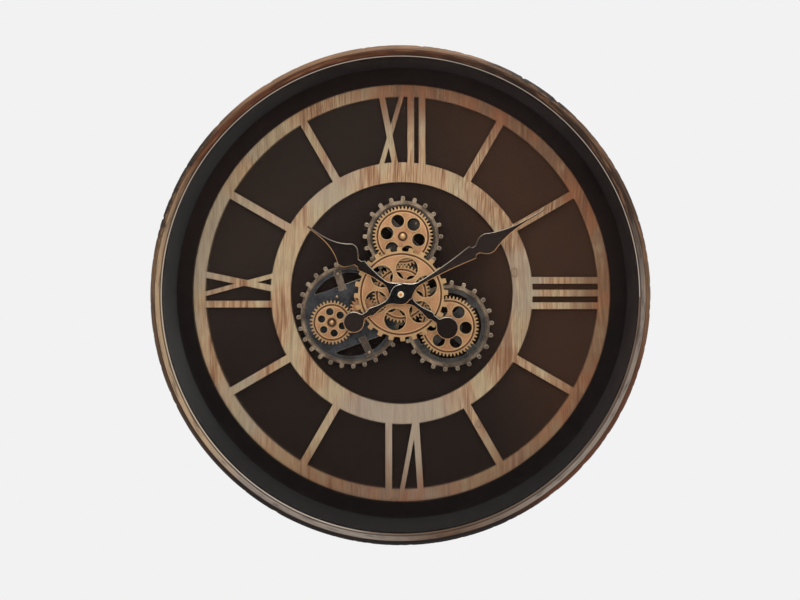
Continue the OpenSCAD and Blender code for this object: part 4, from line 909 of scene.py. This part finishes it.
apply(case_ring, "DISPLACE", texture=chips, texture_coords="LOCAL", mid_level=0.0, strength=-0.0014,
      vertex_group="worn_edge")
smooth(case_ring, 40)
stand_for(case_ring, "frame_ring", case_wood)

# %% [markdown]
# ## The wooden dial
# The rings, bars and numerals are sawn from one panel, so they share one grain. The sawn
# edges are slightly eased by sanding, which shows as a thin line of light round each.

# %% Dial
dial = eased_copy("dial", "dial_panel", SAWN)
stand_for(dial, "dial", pine)

# %% [markdown]
# ## Gears and toothed plates
# The gears are stamped and plated discs, and the plates are cast. The gears' bevel is a
# quarter of a millimetre, small enough to leave the fine teeth their shape. Every tooth of
# a plate carries a small boss with a dimple, and most gears have a few pips on their faces.

# %% Gears and plates
def studded(piece, profile, spots):
    """One small boss is turned, copied to every spot and joined to the piece."""
    first = lathe(piece.name + "_boss", profile, spots[0], 16)
    bosses = [first]
    for spot in spots[1:]:
        only(first)
        bpy.ops.object.duplicate(linked=False)
        bosses.append(bpy.context.object)
        bosses[-1].location = place(*spot, 0) - place(*spots[0], 0)
    only(piece)
    for boss in bosses:
        boss.select_set(True)
    bpy.ops.object.join()
    smooth(piece, 25)


# Centre, circle, directions and height of the pips
PIPS = {
    "front_gear": (CENTRE["hands"], 38.8, (107, 227, 347), FRONT_GEAR_FRONT),
    "fine_gear": (CENTRE["hands"], 23.6, (199,), GEAR_FRONT),
    "top_gear": (CENTRE["top"], 24, (18, 198), GEAR_FRONT),
    "right_gear": (CENTRE["right"], 24, (84, 264), GEAR_FRONT),
    "left_gear": (CENTRE["left"], 18, (126, 306), GEAR_FRONT),
}
# Centre, radius over the teeth, number of teeth, direction of one of them and height of the front
TOOTHED = {
    "left_plate": (CENTRE["left_plate"], 67.6, 28, 208.83, LEFT_PLATE_FRONT),
    "top_plate": (CENTRE["top"], 50.1, 20, 90, PLATE_FRONT),
    "right_plate": (CENTRE["right"], 56.7, 22, 4, PLATE_FRONT),
}
BOSS_INSET = 2.7
for node in ("front_gear", "fine_gear", "top_gear", "right_gear", "left_gear", "idler_gear"):
    gear = eased_copy(node, node + "_plated", STAMPED)
    if node in PIPS:
        centre, radius, ways, front = PIPS[node]
        pip = [(0, front + 0.3), (0.5, front + 0.25), (0.8, front + 0.1), (0.9, front - 0.1),
               (0, front - 0.1)]
        studded(gear, pip, [around(centre, radius, way) for way in ways])
    stand_for(gear, node, plating[node])

for node, (centre, tip, count, first_way, front) in TOOTHED.items():
    plate = eased_copy(node, node + "_plated", CAST)
    boss = [(0, front + 0.05), (0.6, front + 0.1), (1.0, front + 0.35), (2.0, front + 0.35),
            (2.5, front), (2.5, front - 0.2), (0, front - 0.2)]
    ways = [first_way + 360 * k / count for k in range(count)]
    studded(plate, boss, [around(centre, tip - BOSS_INSET, way) for way in ways])
    stand_for(plate, node, plating[node])

# %% [markdown]
# ## Hands
# A hand is stamped from sheet and its edge is ground to a slope. The drawing carries that
# edge as a small step, so the copy's step is raised into a slope: the low inner line of
# the step is moved up to the top's outline and merged with it.

# %% Hands
# The step's share of the sheet's thickness, that thickness in millimetres, and the step and
# how near two heights are to be the same, in metres
STEP_SHARE, HAND_T = 0.4, 1.2
STEP = STEP_SHARE * HAND_T / MM_PER_METRE
LEVEL = 1e-5


def ground_hand(node, name):
    """A copy of a hand whose low step is raised into a slope."""
    piece = merged_copy(node, name)
    bpy.ops.mesh.select_all(action="DESELECT")
    bpy.ops.object.mode_set(mode="OBJECT")
    points = piece.data.vertices
    front = min(v.co.y for v in points)
    ledge = front + STEP
    riser = set()
    for face in piece.data.polygons:
        heights = [points[i].co.y for i in face.vertices]
        upright = abs(face.normal.y) < 0.2
        if upright and min(heights) < front + LEVEL and abs(max(heights) - ledge) < LEVEL:
            riser.update(i for i in face.vertices if abs(points[i].co.y - ledge) < LEVEL)
    for i in riser:
        points[i].select = True
    bpy.ops.object.mode_set(mode="EDIT")
    bpy.ops.transform.translate(value=(0, -STEP, 0))
    bpy.ops.mesh.select_all(action="SELECT")
    bpy.ops.mesh.remove_doubles(threshold=SAME_POINT)
    join_faces(piece, 9)
    print(name, "slope raised from", len(riser), "points")
    return piece


stand_for(ground_hand("hour_hand", "hour_hand_ground"), "hour_hand", hour_black)
stand_for(ground_hand("minute_hand", "minute_hand_ground"), "minute_hand", minute_black)

# %% Hand nut
nut_profile = [(1.75, 61.2), (3.6, 61.2), (3.9, 61.5), (3.9, 62.7), (3.7, 63.1), (3.3, 63.4),
               (2.8, 63.5), (2.5, 63.3), (2.2, 63.3), (1.75, 63.6), (1.75, 61.2)]
nut = lathe("hand_nut_turned", nut_profile, CENTRE["hands"], 48)
smooth(nut, 40)
stand_for(nut, "hand_nut", nut_enamel)

# %% [markdown]
# ## The back
# The two plastic boxes of the works, the hanger and the angle brackets behind the board are
# moulded or pressed parts, and none has a knife edge. Their copies get a narrow bevel, which
# stays clear of the shafts that turn in the boxes: 0.3 mm on plastic, 0.25 on bent sheet.

# %% Pieces behind the board
for node, width, material in (
        ("movement_box", MOULDED, black_plastic), ("motor_box", MOULDED, black_plastic),
        ("hanger", BENT, zinc), ("brackets", BENT, zinc)):
    stand_for(eased_copy(node, node + "_eased", width), node, material)

# %% [markdown]
# ## Finishes for the remaining solids
# The other solids have the right shape already. Each one only gets its finish.

# %% Finishes on solids
FINISH = {
    "glass": glass, "liner": liner_film, "back_board": stained_board, "set_knob": black_plastic,
    "plate_screws": antique_screw, "centre_hub": plating["fine_gear"], "top_dome": top_dome_gold,
    "hour_tube": brass, "minute_shaft": orange_brass,
}
for material, nodes in (
        (dark_bronze, "left_pillars top_pillars right_pillars axle_spacers right_spacer dome_washers"),
        (dome_gold, "left_axle idler_axle right_axle"),
        (brass, "bushing bushing_washer bushing_nut bushing_collar"),
        (cell_jacket, "movement_cell motor_cell"),
        (zinc, "hub_ring cell_springs cell_studs motor_screws hanger_screws bracket_screws"
               " wall_screws top_shaft")):
    FINISH.update((node, material) for node in nodes.split())
for node, material in FINISH.items():
    for slot in solids[node].material_slots:
        slot.material = material
print("finished solids:", len(FINISH))
